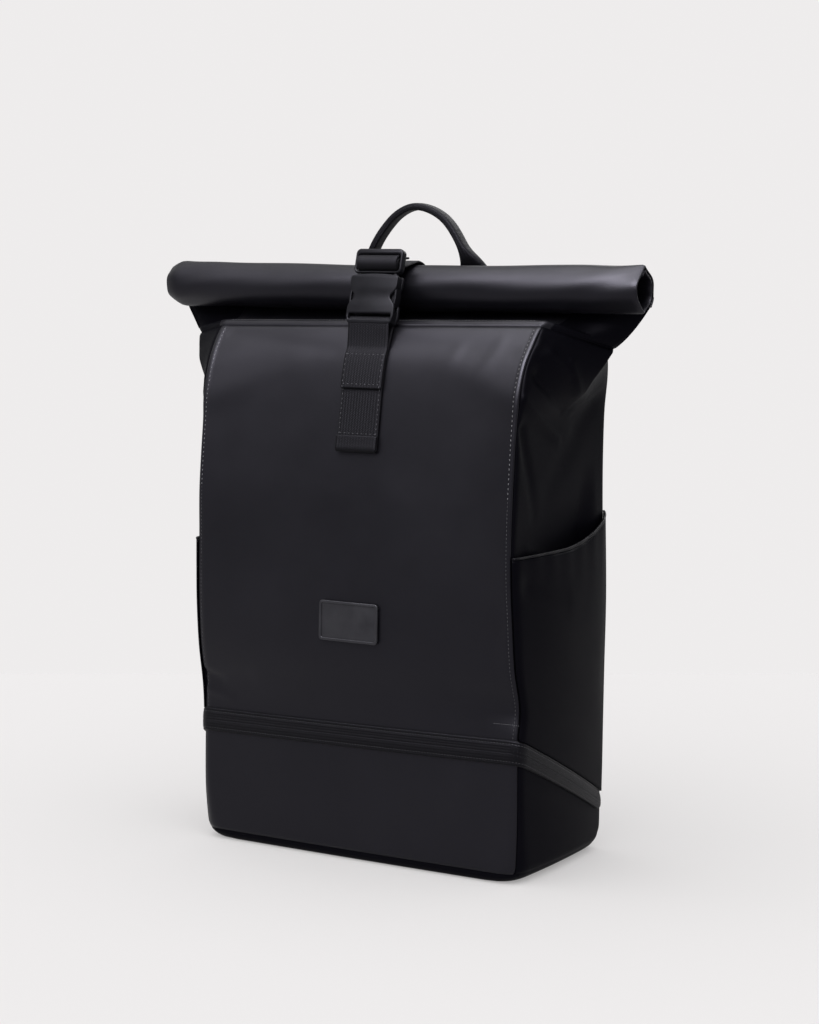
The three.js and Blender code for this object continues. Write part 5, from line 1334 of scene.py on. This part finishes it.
frame_parts = [
    moulded("frame_ring", [
        rounded_box(-BUCKLE_WIDTH / 2, PLASTIC_GAP / 2, BUCKLE_WIDTH / 2, FRAME_LENGTH, 4.2, 9),
        rounded_box(-SLOT_HALF, FRAME_BASE, SLOT_HALF, FRAME_LENGTH - FRAME_TOP_BAR, 2.0),
    ], FRAME_THICKNESS, 1.3),
    moulded("frame_bar", [rounded_box(-SLOT_HALF - 1, FRAME_BAR_LOW, SLOT_HALF + 1, FRAME_BAR_HIGH, 1.0)],
            FRAME_BAR_THICKNESS, 0.9),
    moulded("frame_tongue", [rounded_box(-4.5, 1 - prong_length * 0.8, 4.5, 1.2, 1.0)],
            FRAME_THICKNESS - 2 * PLASTIC_GAP - 2.4, 0.4),
]
for side in (-1, 1):
    frame_parts.append(moulded("frame_prong", [prong_outline(side)],
                               BUCKLE_BODY_THICKNESS - 2 * shell_thickness - 0.5, 0.6))
    frame_parts.append(moulded("frame_arm", [finger_arm(side)], BUCKLE_BODY_THICKNESS - 2.4, 0.5))
buckle_upper = joined("buckle_upper", frame_parts)
dress(buckle_upper, buckle_plastic, "buckle_frame")

# %% [markdown]
# ## Patch
#
# A moulded rubber patch with a raised rim is sewn on below the middle of the front. It is left
# blank. Its field is a little sunk; the stitches inside the rim are not drawn.

# %% Patch
PATCH_WIDTH = 55.0
PATCH_HEIGHT = 32.0
PATCH_CENTRE = 196.0
PATCH_THICKNESS = 2.2
PATCH_RIM = 2.2
PATCH_RECESS = 0.7
patch_u = 0.5 + (TRIM_OFFSET + 1) / BODY_WIDTH
patch_out = skin_normal(np.array(patch_u), np.array(PATCH_CENTRE))
patch_across = unit(np.array([1.0, 0, 0]) - patch_out * patch_out[0])
patch_up = np.cross(patch_out, patch_across)
patch_seat = skin(patch_u, PATCH_CENTRE, SEAM_GAP * 2)
patch_matrix = matrix_at(patch_seat, patch_across, patch_up, patch_out)
half_w, half_h = PATCH_WIDTH / 2, PATCH_HEIGHT / 2
rim = moulded("patch_rim", [rounded_box(-half_w, -half_h, half_w, half_h, 3),
                            rounded_box(-half_w + PATCH_RIM, -half_h + PATCH_RIM, half_w - PATCH_RIM,
                                        half_h - PATCH_RIM, 1.4)],
              PATCH_THICKNESS, 0.55, PATCH_THICKNESS / 2, patch_matrix)
field = moulded("patch_field", [rounded_box(-half_w + 1, -half_h + 1, half_w - 1, half_h - 1, 2)],
                PATCH_THICKNESS - PATCH_RECESS, 0.2, (PATCH_THICKNESS - PATCH_RECESS) / 2, patch_matrix)
blank_patch = joined("blank_patch", [rim, field])
dress(blank_patch, patch_rubber, "patch")

# %% [markdown]
# ## Zip
#
# A reverse coil zip shows its tape, not its teeth: a smooth band with a fine line down its middle
# where the two coils meet, and a row of stitches along each edge. The band is a piece of the skin;
# the small ribs of the coil that show through are copied along its middle by Geometry Nodes, which
# is the right tool for one shape repeated along a path.

# %% Zip tape
CORNER_BAND = 10.0
ZIP_STITCH_INSET = 2.9
COIL_SPREAD = 1.55
zip_reach = 1 - ZIP_END / BODY_DEPTH
near_corner = np.linspace(0, CORNER_BAND, 9)
fine_side = np.concatenate([
    near_corner[:-1] / BODY_DEPTH, np.linspace(CORNER_BAND / BODY_DEPTH, zip_reach, 44)])
fine_front = np.concatenate([
    near_corner[1:-1] / BODY_WIDTH, np.linspace(CORNER_BAND, BODY_WIDTH - CORNER_BAND, 100) / BODY_WIDTH,
    1 - near_corner[::-1][1:-1] / BODY_WIDTH])
zip_columns = np.concatenate([-fine_side[::-1], fine_front, 1 + fine_side])
zip_rows = ZIP_HEIGHT + ZIP_WIDTH * np.linspace(0, 1, 37)
uu, hh = np.meshgrid(zip_columns, zip_rows)
across = 2 * (hh - ZIP_HEIGHT) / ZIP_WIDTH - 1
rounding = (1 - np.sqrt(1 - across ** 2 * ZIP_END_ROUND)) * ZIP_WIDTH / 2 / BODY_DEPTH
side_run = np.clip((np.abs(uu - 0.5) - 0.5 - zip_reach + 0.12) / 0.12, 0, 1)
zip_u = uu - np.sign(uu - 0.5) * rounding * side_run ** 3
edge = (1 - np.abs(across)) * ZIP_WIDTH / 2
crown = 0.9 * np.sqrt(np.clip(1 - across ** 2, 0, 1))
groove = -0.35 * np.exp(-((edge - 2.6) / 0.5) ** 2)
channel = -0.22 * np.exp(-((across * ZIP_WIDTH / 2) / 0.4) ** 2)
tape_rise = SEAM_GAP + ZIP_TAPE + crown + groove + channel - 0.8 * np.exp(-((edge / 0.6) ** 2))
zip_outer = skin(zip_u, hh, tape_rise)
zip_inner = skin(zip_u, hh, SEAM_GAP * 0.8)
zip_run = np.cumsum(np.concatenate([[0], np.diff(zip_columns) * np.where(
    (zip_columns[1:] > 0) & (zip_columns[1:] <= 1), BODY_WIDTH, BODY_DEPTH)]))
zip_uv = np.stack(np.meshgrid(zip_run * MM, zip_rows * MM), -1)[..., ::-1]
zip_cloth = cloth_piece("zip_cloth", zip_outer, zip_inner, zip_uv)
dress(zip_cloth, zip_tape, "zip_band")

# %% [markdown]
# ## Stitches and coil ribs
#
# A row of stitches is a path with one small thread capsule every few millimetres. The node tree
# below turns a path into evenly spaced points, turns each capsule along the path, and makes the
# copies real. It has inputs for the spacing and for the thread's length, width and height, so that
# one tree sews the topstitching, the bar tack, the webbing and the ribs of the coil.


# %% The stitching tree
def stitching_tree():
    tree = bpy.data.node_groups.new("stitching", "GeometryNodeTree")
    face = tree.interface
    face.new_socket("Path", in_out="INPUT", socket_type="NodeSocketGeometry")
    for name, value in (("Spacing", 0.0033), ("Thread length", 0.0022), ("Thread width", 0.0005),
                        ("Thread height", 0.0004)):
        face.new_socket(name, in_out="INPUT", socket_type="NodeSocketFloat").default_value = value
    face.new_socket("Thread", in_out="INPUT", socket_type="NodeSocketMaterial")
    face.new_socket("Stitches", in_out="OUTPUT", socket_type="NodeSocketGeometry")
    start = tree.nodes.new("NodeGroupInput")
    finish = tree.nodes.new("NodeGroupOutput")
    to_curve = tree.nodes.new("GeometryNodeMeshToCurve")
    points = tree.nodes.new("GeometryNodeCurveToPoints")
    points.mode = "LENGTH"
    capsule = tree.nodes.new("GeometryNodeMeshUVSphere")
    capsule.inputs["Segments"].default_value = 6
    capsule.inputs["Rings"].default_value = 4
    capsule.inputs["Radius"].default_value = 0.5
    size = tree.nodes.new("ShaderNodeCombineXYZ")
    place = tree.nodes.new("GeometryNodeInstanceOnPoints")
    real = tree.nodes.new("GeometryNodeRealizeInstances")
    paint = tree.nodes.new("GeometryNodeSetMaterial")
    upward = tree.nodes.new("GeometryNodeInputNamedAttribute")
    upward.data_type = "FLOAT_VECTOR"
    upward.inputs["Name"].default_value = "outward"
    along_x = tree.nodes.new("FunctionNodeAlignRotationToVector")
    along_x.axis = "X"
    out_z = tree.nodes.new("FunctionNodeAlignRotationToVector")
    out_z.axis = "Z"
    out_z.pivot_axis = "X"
    link = tree.links.new
    link(start.outputs["Path"], to_curve.inputs[0])
    link(to_curve.outputs[0], points.inputs[0])
    link(start.outputs["Spacing"], points.inputs["Length"])
    link(points.outputs["Tangent"], along_x.inputs["Vector"])
    link(along_x.outputs[0], out_z.inputs["Rotation"])
    link(upward.outputs[0], out_z.inputs["Vector"])
    link(points.outputs["Points"], place.inputs["Points"])
    link(capsule.outputs["Mesh"], place.inputs["Instance"])
    link(out_z.outputs[0], place.inputs["Rotation"])
    link(start.outputs["Thread length"], size.inputs[0])
    link(start.outputs["Thread width"], size.inputs[1])
    link(start.outputs["Thread height"], size.inputs[2])
    link(size.outputs[0], place.inputs["Scale"])
    link(place.outputs[0], real.inputs[0])
    link(real.outputs[0], paint.inputs["Geometry"])
    link(start.outputs["Thread"], paint.inputs["Material"])
    link(paint.outputs[0], finish.inputs[0])
    return tree


stitching = stitching_tree()
socket_of = {item.name: item.identifier for item in stitching.interface.items_tree if item.in_out == "INPUT"}
print("stitching tree inputs:", list(socket_of))


# %% Sew rows of thread
def sewn_rows(name, rows, thread, spacing=3.3, length=2.2, width=0.5, height=0.45):
    """Each row is (points, outward directions) in millimetres. Gives one plain mesh."""
    verts, edges, outward = [], [], []
    for points, outs in rows:
        base = len(verts)
        verts += (np.asarray(points) * MM).tolist()
        outward += unit(np.asarray(outs, float)).tolist()
        edges += [(base + i, base + i + 1) for i in range(len(points) - 1)]
    mesh = bpy.data.meshes.new(name + "_path")
    mesh.from_pydata(verts, edges, [])
    mesh.attributes.new("outward", "FLOAT_VECTOR", "POINT").data.foreach_set(
        "vector", np.asarray(outward, np.float32).ravel())
    holder = linked(name + "_path", mesh)
    sewing = holder.modifiers.new("sewing", "NODES")
    sewing.node_group = stitching
    for title, value in (("Spacing", spacing * MM), ("Thread length", length * MM),
                         ("Thread width", width * MM), ("Thread height", height * MM), ("Thread", thread)):
        sewing[socket_of[title]] = value
    made = bpy.data.meshes.new_from_object(holder.evaluated_get(bpy.context.evaluated_depsgraph_get()))
    made.name = name
    bpy.data.objects.remove(holder)
    made.polygons.foreach_set("use_smooth", [True] * len(made.polygons))
    piece = linked(name, made)
    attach(piece, "root")
    print(name, "has", len(made.polygons) // 24, "stitches")
    return piece


def skin_row(u, h, offset):
    """A row on the skin: the same offset as the cloth under it, and a little proud of it."""
    u, h = np.broadcast_arrays(np.asarray(u, float), np.asarray(h, float))
    rise = offset + fold_rise(u, h, SOFT_WAVES)
    return skin(u, h, rise), skin_normal(u, h)


# %% Topstitching of the cloth
upper = np.linspace(BODY_HEIGHT - 3, 300, 90)
left_u = TOPSTITCH_INSET / BODY_WIDTH
front_rows = [skin_row(left_u, upper, 0.22), skin_row(1 - left_u, upper, 0.22),
              skin_row(1 - 1.9 / BODY_WIDTH, np.linspace(BODY_HEIGHT - 8, 345, 50), 0.1)]
sewn_rows("seam_threads", front_rows, grey_thread, 3.6, 1.7, 0.6, 0.55)
lower_row = [skin_row(left_u, np.linspace(300, MAIN_FOOT + 3, 110), 0.02),
             skin_row(1 - left_u, np.linspace(300, MAIN_FOOT + 3, 110), 0.02)]
sewn_rows("lower_threads", lower_row, dark_thread, 3.0, 1.8, 0.45, 0.4)

collar_row_u = np.linspace(0.03, 0.97, 110)
collar_ridge = (COLLAR_RIDGE * collar_front(collar_row_u) * 0.93)[:, None] * RIDGE_WAY
collar_rows = [(collar_point(collar_row_u, 0.08) + collar_ridge + [0, -0.35, 0.1],
                np.tile([0, -0.7, 0.7], (len(collar_row_u), 1)))]
sewn_rows("collar_threads", collar_rows, grey_thread, 3.0, 1.6, 0.45, 0.4)

zip_edge_rows = []
for row_height in (ZIP_HEIGHT + ZIP_STITCH_INSET, ZIP_HEIGHT + ZIP_WIDTH - ZIP_STITCH_INSET):
    columns = np.linspace(-zip_reach + 0.06, 1 + zip_reach - 0.06, 260)
    zip_edge_rows.append((skin(columns, row_height, SEAM_GAP + ZIP_TAPE + 0.42),
                          skin_normal(columns, np.full(260, row_height))))
sewn_rows("zip_threads", zip_edge_rows, dark_thread, 2.6, 1.7, 0.36, 0.36)

# %% Ribs of the coil, under the tape
columns = np.linspace(-zip_reach + 0.05, 1 + zip_reach - 0.05, 300)
rib_rows = []
for shift in (-COIL_SPREAD, COIL_SPREAD):
    at = ZIP_HEIGHT + ZIP_WIDTH / 2 + shift
    rib_rows.append((skin(columns, at, SEAM_GAP + ZIP_TAPE + 0.80), skin_normal(columns, np.full(300, at))))
sewn_rows("coil_ribs", rib_rows, coil_nylon, 1.3, 0.6, 2.2, 0.30)

# %% Stitches of the front strap
half = WEBBING_WIDTH / 2


def strap_row(xs, hs, layers):
    """A row on the strap, across it or along it, from places beside its middle and heights."""
    offset = strap_inner if layers == 1 else strap_outer
    points = np.array([lie(h, offset) for h in hs]) + np.outer(xs, [1, 0, 0])
    normals = skin_normal(np.full(len(hs), front_u), hs)
    return points + normals * (WEBBING / 2 + 0.05), normals


def row_across(h, layers, count=14):
    return strap_row(np.linspace(-half + 3, half - 3, count), np.full(count, h), layers)


def row_along(x, low, high, layers, count=24):
    return strap_row(np.full(count, x), np.linspace(low, high, count), layers)


stitched_top = strap_top - 6
strap_rows = [row_across(stitched_top, 2), row_across(strap_foot + STRAP_HEM + 1.8, 1)]
for low, high, layers in ((strap_step + 1, stitched_top, 2), (strap_foot + STRAP_HEM + 2, strap_step - 1, 1)):
    strap_rows += [row_along(x, low, high, layers) for x in (-half + 1.9, half - 1.9)]
strap_rows.append(row_across(strap_step + 3, 2))
sewn_rows("strap_threads", strap_rows, dark_thread, 3.8, 1.5, 0.6, 0.55)

# %% Bar tack at the foot of the right front seam
TACK_RISE = 22.0
tack_row = skin_row(np.linspace(0.925, 0.996, 12), np.full(12, MAIN_FOOT + TACK_RISE), 0.05)
sewn_rows("tack_threads", [tack_row], dark_thread, 1.5, 1.3, 0.5, 0.45)

# %% [markdown]
# ## Behind the bag
#
# The photograph doesn't show the shoulder straps, but such a bag is carried on two of them. They
# are finished plainly: a foam pad in cloth, blown up by the same simulation with its edges pinned,
# a ladder adjuster, and thin webbing down to the foot of the back.

# %% Shoulder straps
SHOULDER_SPREAD = 46.0
SHOULDER_FOOT_SPREAD = 78.0
SHOULDER_TOP = BODY_HEIGHT - 60.5
SHOULDER_BOTTOM = 178.0
SHOULDER_WIDTH = 56.0
SHOULDER_PADDING = 7.0
SHOULDER_STANDOFF = 17.0
SHOULDER_ALONG = (0.0, 0.06, 0.2, 0.4, 0.65, 0.85, 1.0)
SHOULDER_OFF = (0.0, 0.03, 0.6, 1.0, 1.0, 0.85, 0.7)
SHOULDER_WIDE = (0.95, 1.0, 1.0, 1.0, 0.96, 0.85, 0.6)
LOWER_WIDTH = 25.0
LOWER_ANCHOR_SPREAD = 112.0
LOWER_ANCHOR_HEIGHT = 34.0
ADJUSTER_LENGTH = 26.0
ADJUSTER_THICKNESS = 4.5


def behind_back(x, z, offset):
    """A place behind the back panel at a real height; the skin's own height is found by halving."""
    low, high = 0.0, BODY_HEIGHT
    u = 2.5 - x / BODY_WIDTH
    for _ in range(24):
        middle = (low + high) / 2
        if plain_skin(u, middle)[2] < z:
            low = middle
        else:
            high = middle
    return plain_skin(u, low) + [0, offset, 0]


def shoulder_path(side, count):
    points = []
    for t in np.linspace(0, 1, count):
        off = float(table_curve(SHOULDER_ALONG, SHOULDER_OFF, t)) * SHOULDER_STANDOFF
        points.append(behind_back(side * mix(SHOULDER_SPREAD, SHOULDER_FOOT_SPREAD, t * t),
                                  mix(SHOULDER_TOP, SHOULDER_BOTTOM, t),
                                  off + SEAM_GAP * 2 + SHOULDER_PADDING / 2))
    return np.array(points)


def pad_section(width, thickness, count=15):
    """A flat pad with a sewn edge: thin at the rim, full in the middle."""
    t = np.linspace(-1, 1, count)
    rise = 0.5 * thickness * (0.34 + 0.66 * (1 - np.abs(t) ** 6)) * 0.8
    low = np.stack([t * width / 2, -rise], -1)
    return np.concatenate([low, np.stack([t * width / 2, rise], -1)[::-1]])


shoulder_ends = {}
for side_name, side in (("left", -1), ("right", 1)):
    path = shoulder_path(side, 64)
    share = path_length(path) / path_length(path)[-1]
    widths = SHOULDER_WIDTH * table_curve(SHOULDER_ALONG, SHOULDER_WIDE, share)
    along = unit(np.gradient(path, axis=0))
    sideways = unit(np.cross([0, 1, 0], along))
    pad = band_piece(f"shoulder_pad_{side_name}", path, -sideways, widths, SHOULDER_PADDING, pad_section)
    ring = 30
    rim_points = [r * ring + i for r in range(64) for i in (0, 14, 15, 29)]
    rim_points += list(range(ring * 2)) + list(range(62 * ring, 64 * ring)) + [64 * ring, 64 * ring + 1]
    puffed(pad, sorted(set(rim_points)), 3.5, 1.6, 16)
    dress(pad, padded_cloth, f"shoulder_strap_{side_name}")
    shoulder_ends[side] = (path[-1], unit(path[-1] - path[-5]))

# %% Adjusters and lower webbing
for side_name, side in (("left", -1), ("right", 1)):
    end, along = shoulder_ends[side]
    across_dir = unit(np.cross([0, 1, 0], along))
    out_dir = np.cross(across_dir, along)
    centre = end + along * (SEAM_GAP * 3 + ADJUSTER_LENGTH / 2)
    matrix = matrix_at(centre, across_dir, along, out_dir)
    half_w, half_l, bar = LOWER_WIDTH / 2 + 3.5, ADJUSTER_LENGTH / 2, 3.0
    window = (ADJUSTER_LENGTH - 4 * bar) / 3
    outlines = [rounded_box(-half_w, -half_l, half_w, half_l, 3)]
    for i in range(3):
        low = -half_l + bar + i * (window + bar)
        outlines.append(rounded_box(-LOWER_WIDTH / 2 - 0.25, low, LOWER_WIDTH / 2 + 0.25, low + window, 0.8))
    ladder = joined(f"ladder_adjuster_{side_name}",
                    [moulded("ladder", outlines, ADJUSTER_THICKNESS, 0.9, 0, matrix)])
    dress(ladder, buckle_plastic, f"strap_adjuster_{side_name}")
    start = end + along * (SEAM_GAP * 6 + ADJUSTER_LENGTH)
    bend = start + along * LOWER_WIDTH
    anchor = behind_back(side * LOWER_ANCHOR_SPREAD, LOWER_ANCHOR_HEIGHT, SEAM_GAP * 2 + WEBBING / 2)
    t = np.linspace(0, 1, 60)[:, None]
    path = start * (1 - t) ** 2 + bend * 2 * t * (1 - t) + anchor * t * t
    tangent = unit(np.gradient(path, axis=0))
    lower = band_piece(f"lower_webbing_{side_name}_tape", path, -unit(np.cross([0, 1, 0], tangent)),
                       LOWER_WIDTH, WEBBING)
    dress(lower, bag_webbing, f"lower_webbing_{side_name}")

# %% Zip slider
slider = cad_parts["zip_slider"]
slider.data.materials.clear()
slider.data.materials.append(slider_paint)

# %% [markdown]
# ## Studio
#
# The bag stands on a pale floor in front of an even backdrop. A very wide sun from above lights the
# floor, and the paper is given a painted glow of its own, light that no lamp sends, so that the
# shadow stays soft. Three boxes show only as gloss: one on the top of the front, one along the roll,
# and one behind. The camera sees the pale backdrop, while the cloth mirrors a darker room, which
# keeps it near black.

# %% Floor
FLOOR_FRONT = -1.0
FLOOR_BACK = 0.75
FLOOR_SIDE = 3.0
floor_mesh = bpy.data.meshes.new("studio_floor")
floor_mesh.from_pydata([(-FLOOR_SIDE, FLOOR_FRONT, 0), (FLOOR_SIDE, FLOOR_FRONT, 0),
                        (FLOOR_SIDE, FLOOR_BACK, 0), (-FLOOR_SIDE, FLOOR_BACK, 0)], [], [(0, 1, 2, 3)])
floor_mesh.transform(Matrix.Rotation(VIEW_AZIMUTH, 4, "Z"))
studio_floor = linked("studio_floor", floor_mesh)
paper, paper_tree, paper_shader = new_finish("studio_paper")
speckle = node(paper_tree, "ShaderNodeTexNoise", None,
               Vector=node(paper_tree, "ShaderNodeTexCoord").outputs["Object"], Scale=3.0)
paper_tree.links.new(blend_colours(paper_tree, speckle.outputs[0], (0.523, 0.513, 0.511),
                                   (0.525, 0.515, 0.513)), paper_shader.inputs["Base Color"])
# The paper's emission is a painted glow: the floor gives off light of its own, which lifts the bag's shadow
# on it.
paper_shader.inputs["Emission Color"].default_value = (0.857, 0.841, 0.841, 1)
paper_shader.inputs["Emission Strength"].default_value = 0.35
paper_shader.inputs["Roughness"].default_value = 1.0
paper_shader.inputs["Specular IOR Level"].default_value = 0.0
floor_mesh.materials.append(paper)
print("floor", 2 * FLOOR_SIDE, "x", FLOOR_BACK - FLOOR_FRONT, "m")


# %% Lights
BACKDROP = (0.857, 0.841, 0.841, 1)
ROOM = (0.52, 0.52, 0.525, 1)


def wide_sun(name, azimuth, elevation, spread_angle, strength):
    """A distant light as wide as a large soft box, so that the floor is lit evenly."""
    data = bpy.data.lights.new(name, "SUN")
    data.energy = strength
    data.angle = math.radians(spread_angle)
    lamp = linked(name, data)
    a, e = math.radians(azimuth), math.radians(elevation)
    back = Vector((math.sin(a) * math.cos(e), -math.cos(a) * math.cos(e), math.sin(e)))
    lamp.rotation_mode = "QUATERNION"
    lamp.rotation_quaternion = (-back).to_track_quat("-Z", "Y")
    print(name, "comes from", azimuth, elevation)


def highlight_box(name, place, aim, size, power):
    """A soft box that only shows as a gloss on the cloth, and leaves the floor even."""
    data = bpy.data.lights.new(name, "AREA")
    data.shape = "RECTANGLE"
    data.size, data.size_y = size
    data.energy = power
    lamp = linked(name, data)
    lamp.location = place
    lamp.rotation_mode = "QUATERNION"
    lamp.rotation_quaternion = (Vector(aim) - Vector(place)).to_track_quat("-Z", "Y")
    lamp.visible_diffuse = False
    lamp.visible_camera = False
    print(name, "stands at", place)


wide_sun("overhead_light", -8, 70, 110, 1.92)
highlight_box("top_box", (0.08, -0.80, 1.45), (0.10, -0.05, 0.43), (1.0, 0.9), 78)
highlight_box("roll_box", (0.10, -0.10, 1.65), (0.12, -0.05, 0.45), (1.2, 0.7), 17)
highlight_box("back_box", (0.0, 1.9, 1.3), (0.0, 0.0, 0.3), (1.6, 1.2), 22)
world = bpy.data.worlds.new("studio")
bpy.context.scene.world = world
world.use_nodes = True
sky = world.node_tree
room = sky.nodes["Background"]
room.inputs[0].default_value = ROOM
backdrop = sky.nodes.new("ShaderNodeBackground")
backdrop.inputs[0].default_value = BACKDROP
seen = sky.nodes.new("ShaderNodeLightPath")
either = sky.nodes.new("ShaderNodeMixShader")
sky.links.new(seen.outputs["Is Camera Ray"], either.inputs[0])
sky.links.new(room.outputs[0], either.inputs[1])
sky.links.new(backdrop.outputs[0], either.inputs[2])
sky.links.new(either.outputs[0], sky.nodes["World Output"].inputs[0])
bpy.context.scene.view_settings.view_transform = "Standard"
bpy.context.scene.view_settings.look = "None"
